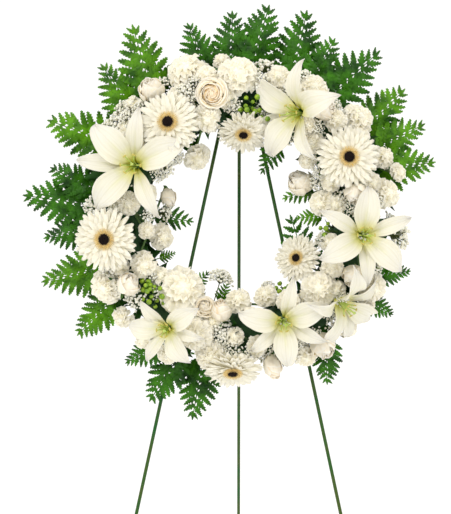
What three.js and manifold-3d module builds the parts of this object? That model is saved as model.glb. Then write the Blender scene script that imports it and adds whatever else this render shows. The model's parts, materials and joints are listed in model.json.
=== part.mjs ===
// A standing funeral wreath. White lilies, gerberas, roses, carnations and baby's breath with leatherleaf
// fern are pushed into a floral-foam ring, and the ring hangs on a folding wire easel: two front legs, one
// hinged back leg. Millimetres, +Z up. The wreath faces -Y, and the origin is the middle of the object's
// box, on the floor.

import * as THREE from "three";
import { mergeVertices } from "three/addons/utils/BufferGeometryUtils.js";
import Module from "manifold-3d";

const wasm = await Module();
wasm.setup();

const { degToRad } = THREE.MathUtils;
const Y = new THREE.Vector3(0, 1, 0);
const at = (x, y, z) => new THREE.Vector3(x, y, z);
// No stem runs this way, so a section can be squared against it.
const ASKEW = at(0.3, 1, 0.2);

// Clearance between pieces that touch.
const GAP = 0.3;

// Easel of 6 mm wire, 54 inches along its front legs. The front frame leans back and the back leg swings
// out to a stop.
const LEG_LENGTH = 1372;
const LEG_RADIUS = 3;
const LEG_SIDES = 10;
const LEG_TOP = 16;
const LEG_END = 7;
const FRONT_LEAN = degToRad(12);
const LEG_SPREAD = degToRad(12.2);
const BACK_LEG_OPEN = degToRad(30);
const TIP_RADIUS = 5.2;
const TIP_LENGTH = 30;
const SLEEVE_TOP = 20;
const SLEEVE_END = 54;
const SLEEVE_DEPTH = 9.4;
const SLEEVE_WALL = 2;
const HINGE_DROP = 66;
const EYE_BORE = 3.4;
const EYE_RADIUS = 8.9;
const EYE_WIDTH = 6;
const HEEL_LENGTH = 30;
// The shaft and the heel start this far from the hinge axis, inside the eye.
const EYE_OVERLAP = 6.2;
const COLLAR_GAP = 0.6;
const COLLAR_WIDTH = 2.8;
const COLLAR_RADIUS = 4.8;
// How far each bar runs past the leg that it is welded to.
const HINGE_OVERHANG = 5;
const UPPER_OVERHANG = 6;
const LOWER_OVERHANG = 8;
const WIRE_RADIUS = 2.5;
const WIRE_SIDES = 6;
const REST_SPAN = 95;
const REST_REACH = 34;
const REST_LIP = 5;

// Floral-foam ring of 18 inches in its plastic tray. In the wreath's frame y is 0 at the tray's back and
// the face is -y.
const RING_DROP = 303;
const RING_RADIUS = 195;
const TRAY_HALF = 37;
const TRAY_WALL = 1.8;
const TRAY_FLOOR = 2.2;
const TRAY_HEIGHT = 22;
const RING_STEPS = 22;
const FOAM_HALF = TRAY_HALF - TRAY_WALL - GAP;
const FOAM_FRONT = 60;
const FOAM_CORE = 30;
const FOAM_SHOULDER = 42;

// Stems, and how deep they are pushed into the foam. Side stems branch off the first one, a step above each
// other.
const STEM_DEPTH = 17;
const STEM_RADIUS = 2.4;
const STEM_SIDES = 3;
const BRANCH_STEP = 5;

// Seeded draw, so that every build is the same.
let drawState = 20;
function draw(low, high) {
  drawState = (drawState * 1664525 + 1013904223) % 4294967296;
  return low + ((high - low) * drawState) / 4294967296;
}

// A closed surface as a solid: equal corners are joined, collapsed faces dropped, and the faces turned
// outwards.
function solidFrom(corners, faces) {
  const loose = new THREE.BufferGeometry();
  loose.setAttribute("position", new THREE.BufferAttribute(new Float32Array(corners), 3));
  loose.setIndex(faces);
  const merged = mergeVertices(loose, 1e-3);
  const place = merged.attributes.position;
  const kept = [];
  let volume = 0;
  const [a, b, c] = [at(), at(), at()];
  for (let i = 0; i < merged.index.count; i += 3) {
    const [p, q, r] = [0, 1, 2].map((k) => merged.index.getX(i + k));
    if (p === q || q === r || r === p) continue;
    a.fromBufferAttribute(place, p);
    b.fromBufferAttribute(place, q);
    c.fromBufferAttribute(place, r);
    volume += a.dot(b.cross(c));
    kept.push(p, q, r);
  }
  if (volume < 0) kept.reverse();
  return new wasm.Manifold(
    new wasm.Mesh({ numProp: 3, vertProperties: place.array, triVerts: new Uint32Array(kept) }),
  );
}

const solidOf = (geometry) => {
  const count = geometry.attributes.position.count;
  const faces = geometry.index ? [...geometry.index.array] : [...Array(count).keys()];
  return solidFrom([...geometry.attributes.position.array], faces);
};

function geometryOf(solid) {
  const mesh = solid.getMesh();
  const geometry = new THREE.BufferGeometry();
  geometry.setAttribute("position", new THREE.BufferAttribute(mesh.vertProperties.slice(), 3));
  geometry.setIndex(new THREE.BufferAttribute(mesh.triVerts.slice(), 1));
  geometry.computeVertexNormals();
  return geometry;
}

const fuse = (solids) => solids.reduce((sum, next) => sum.add(next));

// The biggest body of a cut solid: its loose scraps are dropped.
const mainBody = (solid) => solid.decompose().sort((p, q) => q.volume() - p.volume())[0];

// A straight rod between two points.
function rodGeometry(from, to, radius, sides) {
  const along = to.clone().sub(from);
  const rod = new THREE.CylinderGeometry(radius, radius, along.length(), sides);
  rod.applyQuaternion(new THREE.Quaternion().setFromUnitVectors(Y, along.clone().normalize()));
  return rod.translate(...from.clone().lerp(to, 0.5).toArray());
}
const rod = (from, to, radius, sides) => solidOf(rodGeometry(from, to, radius, sides));

// A closed skin over rings of equal point counts. A ring of one repeated point closes an end.
function skin(rings) {
  const n = rings[0].length;
  const corners = rings.flat().flatMap((p) => p.toArray());
  const faces = [];
  for (let i = 0; i + 1 < rings.length; i++)
    for (let j = 0; j < n; j++) {
      const k = (j + 1) % n;
      const [p, q, r, s] = [i * n + j, i * n + k, (i + 1) * n + k, (i + 1) * n + j];
      faces.push(p, q, r, p, r, s);
    }
  return solidFrom(corners, faces);
}

// A thin blade over rows of points, thickened by each row's own vector so that both faces are split alike.
// It runs to a point at both ends.
function blade(root, rows, tip) {
  const rings = rows.map(({ points, half }) => [
    ...points.map((p) => p.clone().add(half)),
    ...[...points].reverse().map((p) => p.clone().sub(half)),
  ]);
  const end = (p) => Array(rings[0].length).fill(p);
  return skin([end(root), ...rings, end(tip)]);
}

// A slim spike with its thickest part a given share of the way along.
const SPIKE_SIDES = 3;
function spike(root, tip, radius, share) {
  const way = tip.clone().sub(root);
  const aside = way.clone().cross(ASKEW).setLength(radius);
  const middle = root.clone().addScaledVector(way, share);
  const axis = way.clone().normalize();
  const belt = [...Array(SPIKE_SIDES).keys()].map((k) =>
    middle.clone().add(aside.clone().applyAxisAngle(axis, (2 * Math.PI * k) / SPIKE_SIDES)),
  );
  return skin([Array(SPIKE_SIDES).fill(root), belt, Array(SPIKE_SIDES).fill(tip)]);
}

// Round heads: rings of [radius, height, tooth] as shares of the head's size. Every second point is a tooth
// that stands out, and rises by a share of that.
const TOOTH_RISE = 0.6;
function roundHead(profile, radius, points, waver) {
  return skin(
    profile.map(([r, height, tooth = 0], i) =>
      [...Array(points).keys()].map((j) => {
        const turn = (2 * Math.PI * (j + (i % 2) / 2)) / points;
        const sign = j % 2 ? 1 : -1;
        const wild = tooth ? draw(-waver, waver) : 0;
        const out = radius * r * (1 + sign * tooth + wild);
        const up = radius * (height + sign * tooth * TOOTH_RISE);
        return at(out * Math.cos(turn), out * Math.sin(turn), up);
      }),
    ),
  );
}

// Full carnation: three toothed tiers of petals over a slim green calyx.
const CARNATION = [
  [0, -1.06],
  [0.26, -0.62],
  [0.97, -0.04, 0.1],
  [0.7, 0.14],
  [0.74, 0.36, 0.12],
  [0.42, 0.38],
  [0.44, 0.6, 0.14],
  [0, 0.46],
];
// Spray carnation: two tiers.
const SPRAY_CARNATION = [
  [0, -1.1],
  [0.3, -0.6],
  [0.95, 0, 0.12],
  [0.6, 0.22],
  [0.58, 0.52, 0.16],
  [0, 0.42],
];
// Rose: hip, belly, the lobed rims of the outer petals and the wrapped cone inside them.
const ROSE = [
  [0, -1.3],
  [0.42, -1.1],
  [0.98, -0.25],
  [0.92, 0.5, 0.07],
  [0.64, 0.34],
  [0.5, 0.74, 0.08],
  [0, 0.62],
];

// A head of this radius or more is a full one.
const FULL_CARNATION_RADIUS = 24;
function carnation(radius) {
  const full = radius >= FULL_CARNATION_RADIUS;
  return full ? roundHead(CARNATION, radius, 9, 0.05) : roundHead(SPRAY_CARNATION, radius, 7, 0.06);
}
// How far below a head's middle its stem starts, inside the calyx.
const carnationBase = (radius) => 0.66 * radius;

const ROSE_POINTS = 7;
function rose(radius, tall) {
  const profile = ROSE.map(([r, height, tooth]) => [r, height * tall, tooth]);
  return roundHead(profile, radius, ROSE_POINTS, 0.03);
}
const roseBase = (radius, tall) => 1.1 * radius * tall;

// Gerbera: one plate cut into long low rays and short raised ones, on a cupped green base.
const RAYS = 18;
const LONG_RAY = { reach: 1, rise: -0.05, wide: 0.42 };
const SHORT_RAY = { reach: 0.74, rise: 0.1, wide: 0.4 };
const RAY_NOTCH = 0.3;
const RAY_TAPER = 0.75;
const RAY_SLANT = 0.93;
const RAY_THICKNESS = 1;
function gerberaRays(radius) {
  const slot = (2 * Math.PI) / RAYS;
  const outline = [];
  for (let i = 0; i < RAYS; i++) {
    const ray = i % 2 ? SHORT_RAY : LONG_RAY;
    const reach = radius * ray.reach * draw(0.96, 1);
    const height = radius * ray.rise;
    const half = slot * ray.wide * RAY_TAPER;
    const turn = slot * i;
    outline.push([turn - slot / 2, RAY_NOTCH * radius, 0]);
    outline.push([turn - half, reach * RAY_SLANT, height]);
    outline.push([turn + half, reach, height]);
  }
  const n = outline.length;
  const corners = [];
  for (const side of [-0.5, 0.5]) {
    corners.push(0, 0, side * RAY_THICKNESS);
    for (const [turn, out, up] of outline)
      corners.push(out * Math.cos(turn), out * Math.sin(turn), up + side * RAY_THICKNESS);
  }
  const low = (i) => 1 + (i % n);
  const high = (i) => n + 2 + (i % n);
  const faces = [];
  for (let i = 0; i < n; i += 3) {
    faces.push(0, low(i + 3), low(i), low(i), low(i + 3), low(i + 2), low(i), low(i + 2), low(i + 1));
    faces.push(n + 1, high(i), high(i + 3), high(i), high(i + 2), high(i + 3));
    faces.push(high(i), high(i + 1), high(i + 2));
    for (const k of [i, i + 1, i + 2])
      faces.push(low(k), low(k + 1), high(k + 1), low(k), high(k + 1), high(k));
  }
  return solidFrom(corners, faces);
}
const GERBERA_CUP = [
  [0, -0.3],
  [0.17, -0.12],
  [0.17, 0.004],
  [0, 0.004],
];
const gerbera = (radius) => gerberaRays(radius).add(roundHead(GERBERA_CUP, radius, 6, 0));
const gerberaBase = (radius) => 0.27 * radius;

// Its eye: a low toothed cushion that sits on the rays.
const GERBERA_EYE = [
  [0, 0],
  [0.21, 0],
  [0.2, 0.06, 0.1],
  [0.09, 0.05],
  [0, 0.09],
];
const EYE_SEAT = RAY_THICKNESS / 2 + 1.3 * GAP;
const gerberaEye = (radius) => roundHead(GERBERA_EYE, radius, 8, 0).translate([0, 0, EYE_SEAT]);

// Lily: a narrow funnel that opens into three broad petals over three slim sepals, all arched back at the
// tip.
const TEPAL_ROWS = [
  { out: 0.04, up: -0.4 },
  { out: 0.2, up: -0.14, wide: 0.3 },
  { out: 0.44, up: 0.05, wide: 1 },
  { out: 0.74, up: 0.07, wide: 0.84 },
  { out: 1, up: -0.08 },
];
const TEPAL_THICKNESS = 1.2;
const TEPAL_CUP = 0.32;
const SEPAL_DROP = 0.05;
function tepal(radius, width, turn, reach, drop) {
  const spot = TEPAL_ROWS.map(({ out, up }) => at(radius * out * reach, 0, radius * (up - drop)));
  const last = spot.length - 1;
  const rows = TEPAL_ROWS.slice(1, last).map(({ wide }, i) => {
    const slope = spot[i + 2].clone().sub(spot[i]);
    const normal = at(-slope.z, 0, slope.x).normalize();
    const half = (width * wide) / 2;
    const points = [-1, 0, 1].map((side) => {
      const raised = normal.clone().multiplyScalar(Math.abs(side) * TEPAL_CUP * half);
      return spot[i + 1].clone().add(at(0, side * half, 0)).add(raised);
    });
    return { points, half: normal.multiplyScalar(TEPAL_THICKNESS / 2) };
  });
  return blade(spot[0], rows, spot[last]).rotate([0, 0, turn]);
}
const LILY_FUNNEL = [
  [0, -0.6],
  [0.14, -0.28],
  [0, -0.22],
];
const LILY_PETAL_WIDTH = 0.5;
const LILY_SEPAL_WIDTH = 0.34;
const STYLE_FOOT = -0.3;
const STYLE_TIP = 0.24;
const STYLE_BEND = 3;
const STYLE_RADIUS = 2;
function lily(radius, turns, reaches) {
  const tepals = turns.map((turn, i) =>
    i % 2
      ? tepal(radius, radius * LILY_SEPAL_WIDTH, turn, reaches[i], SEPAL_DROP)
      : tepal(radius, radius * LILY_PETAL_WIDTH, turn, reaches[i], 0),
  );
  const funnel = roundHead(LILY_FUNNEL, radius, 6, 0);
  const [foot, tip] = [at(0, 0, STYLE_FOOT * radius), at(STYLE_BEND, 0, STYLE_TIP * radius)];
  const style = spike(foot, tip, STYLE_RADIUS, 0.85);
  return fuse([funnel, ...tepals, style]);
}
const lilyBase = (radius) => 0.56 * radius;

// Where a head stands: [x, z] as seen from the front, and its distance from the foam's core. A head far out
// or far in still stands a little in front of the core.
const LEAST_FORWARD = 18;
function standAt(x, z, reach) {
  const across = Math.hypot(x, z) - RING_RADIUS;
  const forward = Math.sqrt(Math.max(reach * reach - across * across, LEAST_FORWARD ** 2));
  return at(x, -FOAM_CORE - forward, z);
}

// The way a head faces: `tilt` degrees off straight ahead, towards the clock angle `toward` (0 right, 90
// up).
function facing(toward, tilt) {
  const [a, t] = [degToRad(toward), degToRad(tilt)];
  return at(Math.cos(a) * Math.sin(t), -Math.cos(t), Math.sin(a) * Math.sin(t));
}

// By default a head looks half way between straight ahead and straight out of the foam.
function outOfFoam(place) {
  const core = coreNear(place);
  return place.clone().sub(core).normalize().sub(Y).normalize();
}
function coreNear(place) {
  const around = Math.atan2(place.z, place.x);
  return at(RING_RADIUS * Math.cos(around), -FOAM_CORE, RING_RADIUS * Math.sin(around));
}

// Turns a head modelled about +Z so that it faces `look`, upright as seen from the front.
function turned(solid, place, look) {
  const up = at(0, 0, 1).addScaledVector(look, -look.z).normalize();
  const right = up.clone().cross(look);
  const matrix = new THREE.Matrix4().makeBasis(right, up, look).setPosition(place);
  return solid.transform(matrix.toArray());
}

// Where the stem below `base` ends: STEM_DEPTH inside the foam's surface, or at another depth.
function stemEnd(base, depth = STEM_DEPTH) {
  const core = coreNear(base);
  const way = base.clone().sub(core).normalize();
  return core.addScaledVector(way, FOAM_HALF - depth);
}

// The layout, read from the front: x to the right and z up from the ring's centre, in millimetres.
const LILIES = [
  { name: "lily_left", x: -175, z: 87, radius: 95, toward: 170, tilt: 8, reach: 88,
    turns: [22, 82, 135, 178, 227, 295] },
  { name: "lily_top", x: 86, z: 171, radius: 86, toward: 190, tilt: 34, reach: 88,
    turns: [142, 200, 235, 290, 20, 78] },
  { name: "lily_low_left", x: -121, z: -182, radius: 66, toward: 200, tilt: 16, reach: 92,
    turns: [180, 238, 300, 350, 35, 130] },
  { name: "lily_right", x: 206, z: -28, radius: 84, toward: 0, tilt: 6, reach: 88,
    turns: [208, 150, 90, 22, 321, 274] },
  { name: "lily_low", x: 73, z: -171, radius: 76, toward: 270, tilt: 8, reach: 90,
    turns: [171, 226, 276, 333, 26, 75] },
  { name: "lily_low_right", x: 176, z: -146, radius: 74, toward: 318, tilt: 48, reach: 84,
    turns: [347, 40, 100, 180, 255, 300] },
];
const GERBERAS = [
  { name: "gerbera_top_left", x: -116, z: 156, radius: 54, toward: 120, tilt: 12, reach: 90 },
  { name: "gerbera_right", x: 178, z: 100, radius: 54, toward: 20, tilt: 12, reach: 90 },
  { name: "gerbera_inner_top", x: 7, z: 140, radius: 44, toward: 268, tilt: 42, reach: 80 },
  { name: "gerbera_left", x: -219, z: -35, radius: 55, toward: 185, tilt: 14, reach: 92 },
  { name: "gerbera_bottom", x: -10, z: -252, radius: 50, toward: 272, tilt: 52, reach: 84 },
  { name: "gerbera_inner_right", x: 96, z: -66, radius: 41, toward: 160, tilt: 28, reach: 92 },
];
// Rose heads: [x, z, radius, height share, toward, tilt]. The first head's stem carries the others of its
// node.
const ROSE_REACH = 76;
const ROSES = {
  roses_top_left: [[-146, 213, 21, 1, 110, 42], [-45, 204, 23, 0.8, 200, 10]],
  rose_top_right: [[139, 181, 20, 1, 20, 30]],
  roses_right: [[190, 40, 18, 1, 268, 44], [102, 60, 22, 1, 175, 50], [189, -96, 20, 1, 60, 26]],
  roses_left: [[-181, -108, 19, 1, 140, 26], [-118, 34, 13, 1.3, 285, 66]],
  roses_low: [[-30, -152, 17, 1.2, 100, 34], [-56, -146, 15, 1, 110, 20], [56, -246, 16, 1.4, 285, 66]],
  rose_low_right: [[140, -212, 21, 1.1, 290, 44]],
};
// Carnation heads: [x, z, radius].
const CARNATION_REACH = 72;
const CARNATIONS = {
  carnations_top_left: [[-54, 236, 17], [-88, 247, 33], [-3, 238, 32], [-30, 264, 14]],
  carnations_top_right: [[123, 215, 25], [66, 234, 20], [160, 163, 18], [200, 168, 26]],
  carnations_inner_top_right: [[119, 124, 18], [112, 152, 15], [112, 95, 14], [135, 24, 20]],
  carnations_right: [[243, 104, 18], [268, 78, 15], [247, 42, 22]],
  carnations_inner_top_left: [[-53, 163, 22], [-68, 98, 22]],
  carnations_left: [[-181, 24, 18], [-126, -30, 20], [-152, -20, 13]],
  carnations_outer_left: [[-222, -116, 27], [-156, -76, 20], [-196, -168, 17]],
  carnations_bottom_left: [[-71, -192, 26], [-93, -118, 38], [-46, -230, 25], [-118, -228, 18]],
  carnations_inner_low: [[82, -136, 19], [44, -126, 18], [-2, -134, 20], [111, -232, 18]],
  carnations_low_right: [[222, -116, 25], [214, -146, 17], [131, -116, 28], [153, -78, 18]],
};
// How far above the foam a node's stems fork, where it isn't the usual height.
const FORK_LIFT = 4;
const FORK_LIFTS = { roses_left: 16, carnations_left: 1, carnations_outer_left: 0 };

// Sprays: a stalk with short twigs along it, each a golden turn round from the last. Button buds end one
// kind, baby's breath florets the other.
const GOLDEN_TURN = 2.4;
const SPRAY_RISE = 14;
const TWIG_RADIUS = 0.9;
const BUD = { sides: 4, profile: [[-5, TWIG_RADIUS], [0, 5.4]], crown: 5 };
const FLORET = { sides: 3, profile: [[-2.4, TWIG_RADIUS], [0, 3.4]], crown: 2.4 };
const BUDS = [
  { name: "buds_top", x: 26, z: 180, reach: 68, spread: 24, ends: 5 },
  { name: "buds_left", x: -140, z: -130, reach: 66, spread: 20, ends: 4 },
];
const BREATH = [
  { name: "breath_top_left", x: -222, z: 176, reach: 82, spread: 40, ends: 8 },
  { name: "breath_top", x: 48, z: 268, reach: 86, spread: 38, ends: 7 },
  { name: "breath_right", x: 290, z: -32, reach: 78, spread: 36, ends: 7 },
  { name: "breath_inner_low", x: -26, z: -92, reach: 98, spread: 22, ends: 6 },
];

// Leatherleaf fern. Each frond has the clock angle of its tip and how far out that is; fronds of a group
// share a stalk. A stalk that runs through the foam can carry a small inner frond, which leans into the
// wreath's hole.
const FROND_THICKNESS = 0.9;
const FROND_BASE = 248;
const FROND_LAYERS = [-10, -19, -28];
const FROND_RISE = 4;
const FROND_BULGE = 6;
const FROND_DROOP = 0.9;
const FROND_PINNAE = 6;
const INNER_PINNAE = 4;
const INNER_OVERRUN = 8;
const FORK_RADIUS = 240;
const PINNA_ANGLE = degToRad(58);
const RIB = 1.5;
const FERNS = [
  { name: "fern_upper_left", stalk: 141,
    fronds: [{ tip: 153, out: 365 }, { tip: 132, out: 350 }, { tip: 119, out: 372 }] },
  { name: "fern_top", stalk: 95,
    fronds: [{ tip: 105, out: 342 }, { tip: 92, out: 350 }, { tip: 82, out: 362 }] },
  { name: "fern_top_right", stalk: 62, inner: { tip: 64, out: 82 },
    fronds: [{ tip: 72, out: 370 }, { tip: 62, out: 344 }, { tip: 50, out: 368 }] },
  { name: "fern_upper_right", stalk: 27,
    fronds: [{ tip: 38, out: 356 }, { tip: 27, out: 352 }, { tip: 16, out: 344 }] },
  { name: "fern_low_right", stalk: -36, inner: { tip: 4, out: 86 },
    fronds: [{ tip: -17, out: 305 }, { tip: -32, out: 308 }, { tip: -62, out: 318 }] },
  { name: "fern_bottom_left", stalk: -107,
    fronds: [{ tip: -103, out: 352 }, { tip: -116, out: 346 }, { tip: -128, out: 312 }] },
  { name: "fern_low_left", stalk: 204,
    fronds: [{ tip: 216, out: 340 }, { tip: 198, out: 352 }] },
  { name: "fern_left", stalk: 178, inner: { tip: 185, out: 76 },
    fronds: [{ tip: 186, out: 334 }, { tip: 174, out: 368 }, { tip: 165, out: 330 }] },
];

function frondOutline(length, pinnae, rib) {
  const shape = new THREE.Shape();
  const step = length / (pinnae + 0.5);
  const side = [];
  for (let k = 0; k < pinnae; k++) {
    const long = length * 0.44 * Math.pow(1 - (k + 0.5) / pinnae, 0.75) * (k === 0 ? 0.9 : 1) + step * 0.4;
    side.push([step * k, rib]);
    side.push([step * (k + 0.3) + long * Math.cos(PINNA_ANGLE), rib + long * Math.sin(PINNA_ANGLE)]);
  }
  side.push([step * pinnae, rib]);
  shape.moveTo(-1, rib);
  shape.lineTo(-1, -rib);
  for (const [u, v] of side) shape.lineTo(u, -v);
  shape.lineTo(length, 0);
  for (const [u, v] of side.reverse()) shape.lineTo(u, v);
  shape.closePath();
  return shape;
}

// One frond: the flat outline is laid along its direction, bulged forward along the rib and let droop at
// its edges. The end of its outline is drawn down to `root` as its bare stalk.
function frond(root, start, end, bulge, droop, pinnae) {
  const length = start.distanceTo(end);
  const along = end.clone().sub(start).normalize();
  const aside = along.clone().cross(Y).normalize();
  const sheet = new THREE.ExtrudeGeometry(frondOutline(length, pinnae, RIB), {
    depth: FROND_THICKNESS,
    bevelEnabled: false,
    curveSegments: 1,
  });
  const place = sheet.attributes.position;
  for (let i = 0; i < place.count; i++) {
    const [u, v, w] = [place.getX(i), place.getY(i), place.getZ(i)];
    const back = w - bulge * Math.sin((Math.PI * u) / length) + droop * (v / length) ** 2 * length;
    const point = u < 0 ? root.clone() : start.clone().addScaledVector(along, u);
    point.addScaledVector(aside, v).add(at(0, u < 0 ? w - FROND_THICKNESS / 2 : back, 0));
    place.setXYZ(i, ...point.toArray());
  }
  return solidOf(sheet);
}

// A thin twig with a bud or floret at its end, as one skin.
function twig(root, end, { sides, profile, crown }) {
  const way = end.clone().sub(root).normalize();
  const aside = way.clone().cross(ASKEW).normalize();
  const ring = (distance, radius) =>
    [...Array(sides).keys()].map((k) =>
      end
        .clone()
        .addScaledVector(way, distance)
        .addScaledVector(aside.clone().applyAxisAngle(way, (2 * Math.PI * k) / sides), radius),
    );
  const tail = -end.distanceTo(root);
  const rings = [[tail, 0], [tail + 0.3, TWIG_RADIUS], ...profile, [crown, 0]];
  return skin(rings.map(([distance, radius]) => ring(distance, radius)));
}

function addSpray({ name, x, z, reach, spread, ends }, material, kind) {
  const tip = standAt(x, z, reach);
  const foot = stemEnd(tip, -SPRAY_RISE);
  const way = tip.clone().sub(foot);
  const axis = way.clone().normalize();
  const aside = axis.clone().cross(at(0, 1, 0.3)).normalize();
  const twigs = [...Array(ends).keys()].map((i) => {
    const share = 0.2 + (0.75 * i) / ends;
    const root = foot.clone().addScaledVector(way, share);
    const turn = GOLDEN_TURN * i + draw(-0.3, 0.3);
    const out = aside.clone().applyAxisAngle(axis, turn).addScaledVector(axis, draw(0.3, 0.7)).normalize();
    const length = spread * draw(0.7, 1) * (1.15 - 0.55 * share);
    return twig(root, root.clone().addScaledVector(out, length), kind);
  });
  const stalk = spike(stemEnd(tip, 4), tip.clone().addScaledVector(way, -0.02), TWIG_RADIUS * 1.8, 0.6);
  const last = twig(foot.clone().addScaledVector(way, 0.8), tip.clone().addScaledVector(way, 0.05), kind);
  const stem = stemOf([[foot.clone().addScaledVector(way, 0.1), stemEnd(foot)]]);
  addNode(name, material, [fuse([stalk, ...twigs, last])], stem);
}

const polar = (clock, out, y) => at(out * Math.cos(degToRad(clock)), y, out * Math.sin(degToRad(clock)));

// The wreath's nodes, and all their stems with the room that each stem needs.
const stems = [];
const nodes = [];
function addNode(name, material, heads, stem, seat) {
  nodes.push({ name, material, heads, stem, seat });
  if (stem) stems.push({ name, stem: stem.solid, room: stem.room });
}

function stemOf(runs, radius = STEM_RADIUS) {
  const grown = (extra) =>
    fuse(
      runs.map(([from, to]) => {
        const way = from.clone().sub(to).setLength(extra);
        return rod(from.clone().add(way), to.clone().sub(way), radius + extra, STEM_SIDES);
      }),
    );
  return { solid: grown(0), room: grown(GAP) };
}

// One bloom or several. The first head's stem goes into the foam, and the others branch off it above the
// foam.
function addBlooms(name, material, heads, radius) {
  const feet = heads.map(({ place, look, base }) => place.clone().addScaledVector(look, -base));
  const inside = stemEnd(feet[0]);
  const lift = FORK_LIFTS[name] ?? FORK_LIFT;
  const fork = (i) => stemEnd(feet[0], -lift - BRANCH_STEP * (i - 1));
  const runs = feet.map((foot, i) => [foot, i ? fork(i) : inside]);
  const solids = heads.map(({ solid, place, look }) => turned(solid, place, look));
  addNode(name, material, solids, stemOf(runs, radius));
}

const white = new THREE.MeshStandardMaterial({ color: 0xf5f0dd, roughness: 0.75 });
const cream = new THREE.MeshStandardMaterial({ color: 0xf6e4cf, roughness: 0.7 });
const dark = new THREE.MeshStandardMaterial({ color: 0x2a1c12, roughness: 0.9 });
const lime = new THREE.MeshStandardMaterial({ color: 0x86a81c, roughness: 0.6 });
const fern = new THREE.MeshStandardMaterial({ color: 0x2c6a1e, roughness: 0.6 });
const foamGreen = new THREE.MeshStandardMaterial({ color: 0x1f4a2c, roughness: 1 });
const trayGreen = new THREE.MeshStandardMaterial({ color: 0x1c3d24, roughness: 0.5 });
const easelGreen = new THREE.MeshStandardMaterial({ color: 0x1e4d22, roughness: 0.4, metalness: 0.3 });
const vinyl = new THREE.MeshStandardMaterial({ color: 0x14301a, roughness: 0.7 });

for (const { name, x, z, radius, toward, tilt, turns, reach } of LILIES) {
  const solid = lily(radius, turns, turns.map(() => draw(0.94, 1.04)));
  const place = standAt(x, z, reach);
  addBlooms(name, white, [{ solid, place, look: facing(toward, tilt), base: lilyBase(radius) }], 3);
}
for (const { name, x, z, radius, toward, tilt, reach } of GERBERAS) {
  const [place, look] = [standAt(x, z, reach), facing(toward, tilt)];
  addBlooms(name, white, [{ solid: gerbera(radius), place, look, base: gerberaBase(radius) }], 2.6);
  addNode(name + "_eye", dark, [turned(gerberaEye(radius), place, look)], null, name);
}
for (const [name, heads] of Object.entries(ROSES)) {
  const made = heads.map(([x, z, radius, tall, toward, tilt]) => ({
    solid: rose(radius, tall),
    place: standAt(x, z, ROSE_REACH),
    look: facing(toward, tilt),
    base: roseBase(radius, tall),
  }));
  addBlooms(name, cream, made);
}
for (const [name, heads] of Object.entries(CARNATIONS)) {
  const made = heads.map(([x, z, radius]) => {
    const place = standAt(x, z, CARNATION_REACH);
    return { solid: carnation(radius), place, look: outOfFoam(place), base: carnationBase(radius) };
  });
  addBlooms(name, white, made);
}

for (const spray of BUDS) addSpray(spray, lime, BUD);
for (const spray of BREATH) addSpray(spray, white, FLORET);

for (const { name, stalk, fronds, inner } of FERNS) {
  const hub = polar(stalk, FORK_RADIUS, -FOAM_CORE);
  const across = inner ? -FOAM_HALF - INNER_OVERRUN : FOAM_HALF - STEM_DEPTH;
  const inside = polar(stalk, RING_RADIUS + across, -FOAM_CORE);
  const blades = fronds.map(({ tip, out }, i) => {
    const start = polar(stalk + (tip - stalk) * 0.7, FROND_BASE, FROND_LAYERS[i] - FROND_RISE);
    const end = polar(tip, out, FROND_LAYERS[i] + FROND_RISE);
    return frond(hub, start, end, FROND_BULGE, FROND_DROOP, FROND_PINNAE);
  });
  if (inner) {
    const root = inside.clone().multiplyScalar(1.02);
    const start = inside.clone().multiplyScalar(0.93);
    const end = polar(inner.tip, inner.out, -FOAM_CORE);
    blades.push(frond(root, start, end, FROND_BULGE - 2, FROND_DROOP - 0.1, INNER_PINNAE));
  }
  addNode(name, fern, blades, stemOf([[polar(stalk, FORK_RADIUS + 2, -FOAM_CORE), inside]]));
}

// The tray is an open channel ring, and the foam fills it and bulges out of its front.
function ringSolid(section) {
  const points = [...section, section[0]].map(([r, y]) => new THREE.Vector2(RING_RADIUS + r, y));
  return solidOf(new THREE.LatheGeometry(points, RING_STEPS));
}
const tray = ringSolid([
  [-TRAY_HALF, 0],
  [TRAY_HALF, 0],
  [TRAY_HALF, -TRAY_HEIGHT],
  [TRAY_HALF - TRAY_WALL, -TRAY_HEIGHT],
  [TRAY_HALF - TRAY_WALL, -TRAY_FLOOR],
  [TRAY_WALL - TRAY_HALF, -TRAY_FLOOR],
  [TRAY_WALL - TRAY_HALF, -TRAY_HEIGHT],
  [-TRAY_HALF, -TRAY_HEIGHT],
]);
const wholeFoam = ringSolid([
  [-FOAM_HALF, -TRAY_FLOOR - GAP],
  [FOAM_HALF, -TRAY_FLOOR - GAP],
  [FOAM_HALF, -FOAM_SHOULDER],
  [FOAM_HALF * 0.5, -FOAM_FRONT],
  [-FOAM_HALF * 0.5, -FOAM_FRONT],
  [-FOAM_HALF, -FOAM_SHOULDER],
]);
const foamRoom = ringSolid([
  [-FOAM_HALF - GAP, -TRAY_FLOOR],
  [FOAM_HALF + GAP, -TRAY_FLOOR],
  [FOAM_HALF + GAP, -FOAM_SHOULDER - GAP],
  [FOAM_HALF * 0.5 + GAP, -FOAM_FRONT - GAP],
  [-FOAM_HALF * 0.5 - GAP, -FOAM_FRONT - GAP],
  [-FOAM_HALF - GAP, -FOAM_SHOULDER - GAP],
]);
const foam = stems.reduce((left, { room }) => left.subtract(room), wholeFoam);

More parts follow.
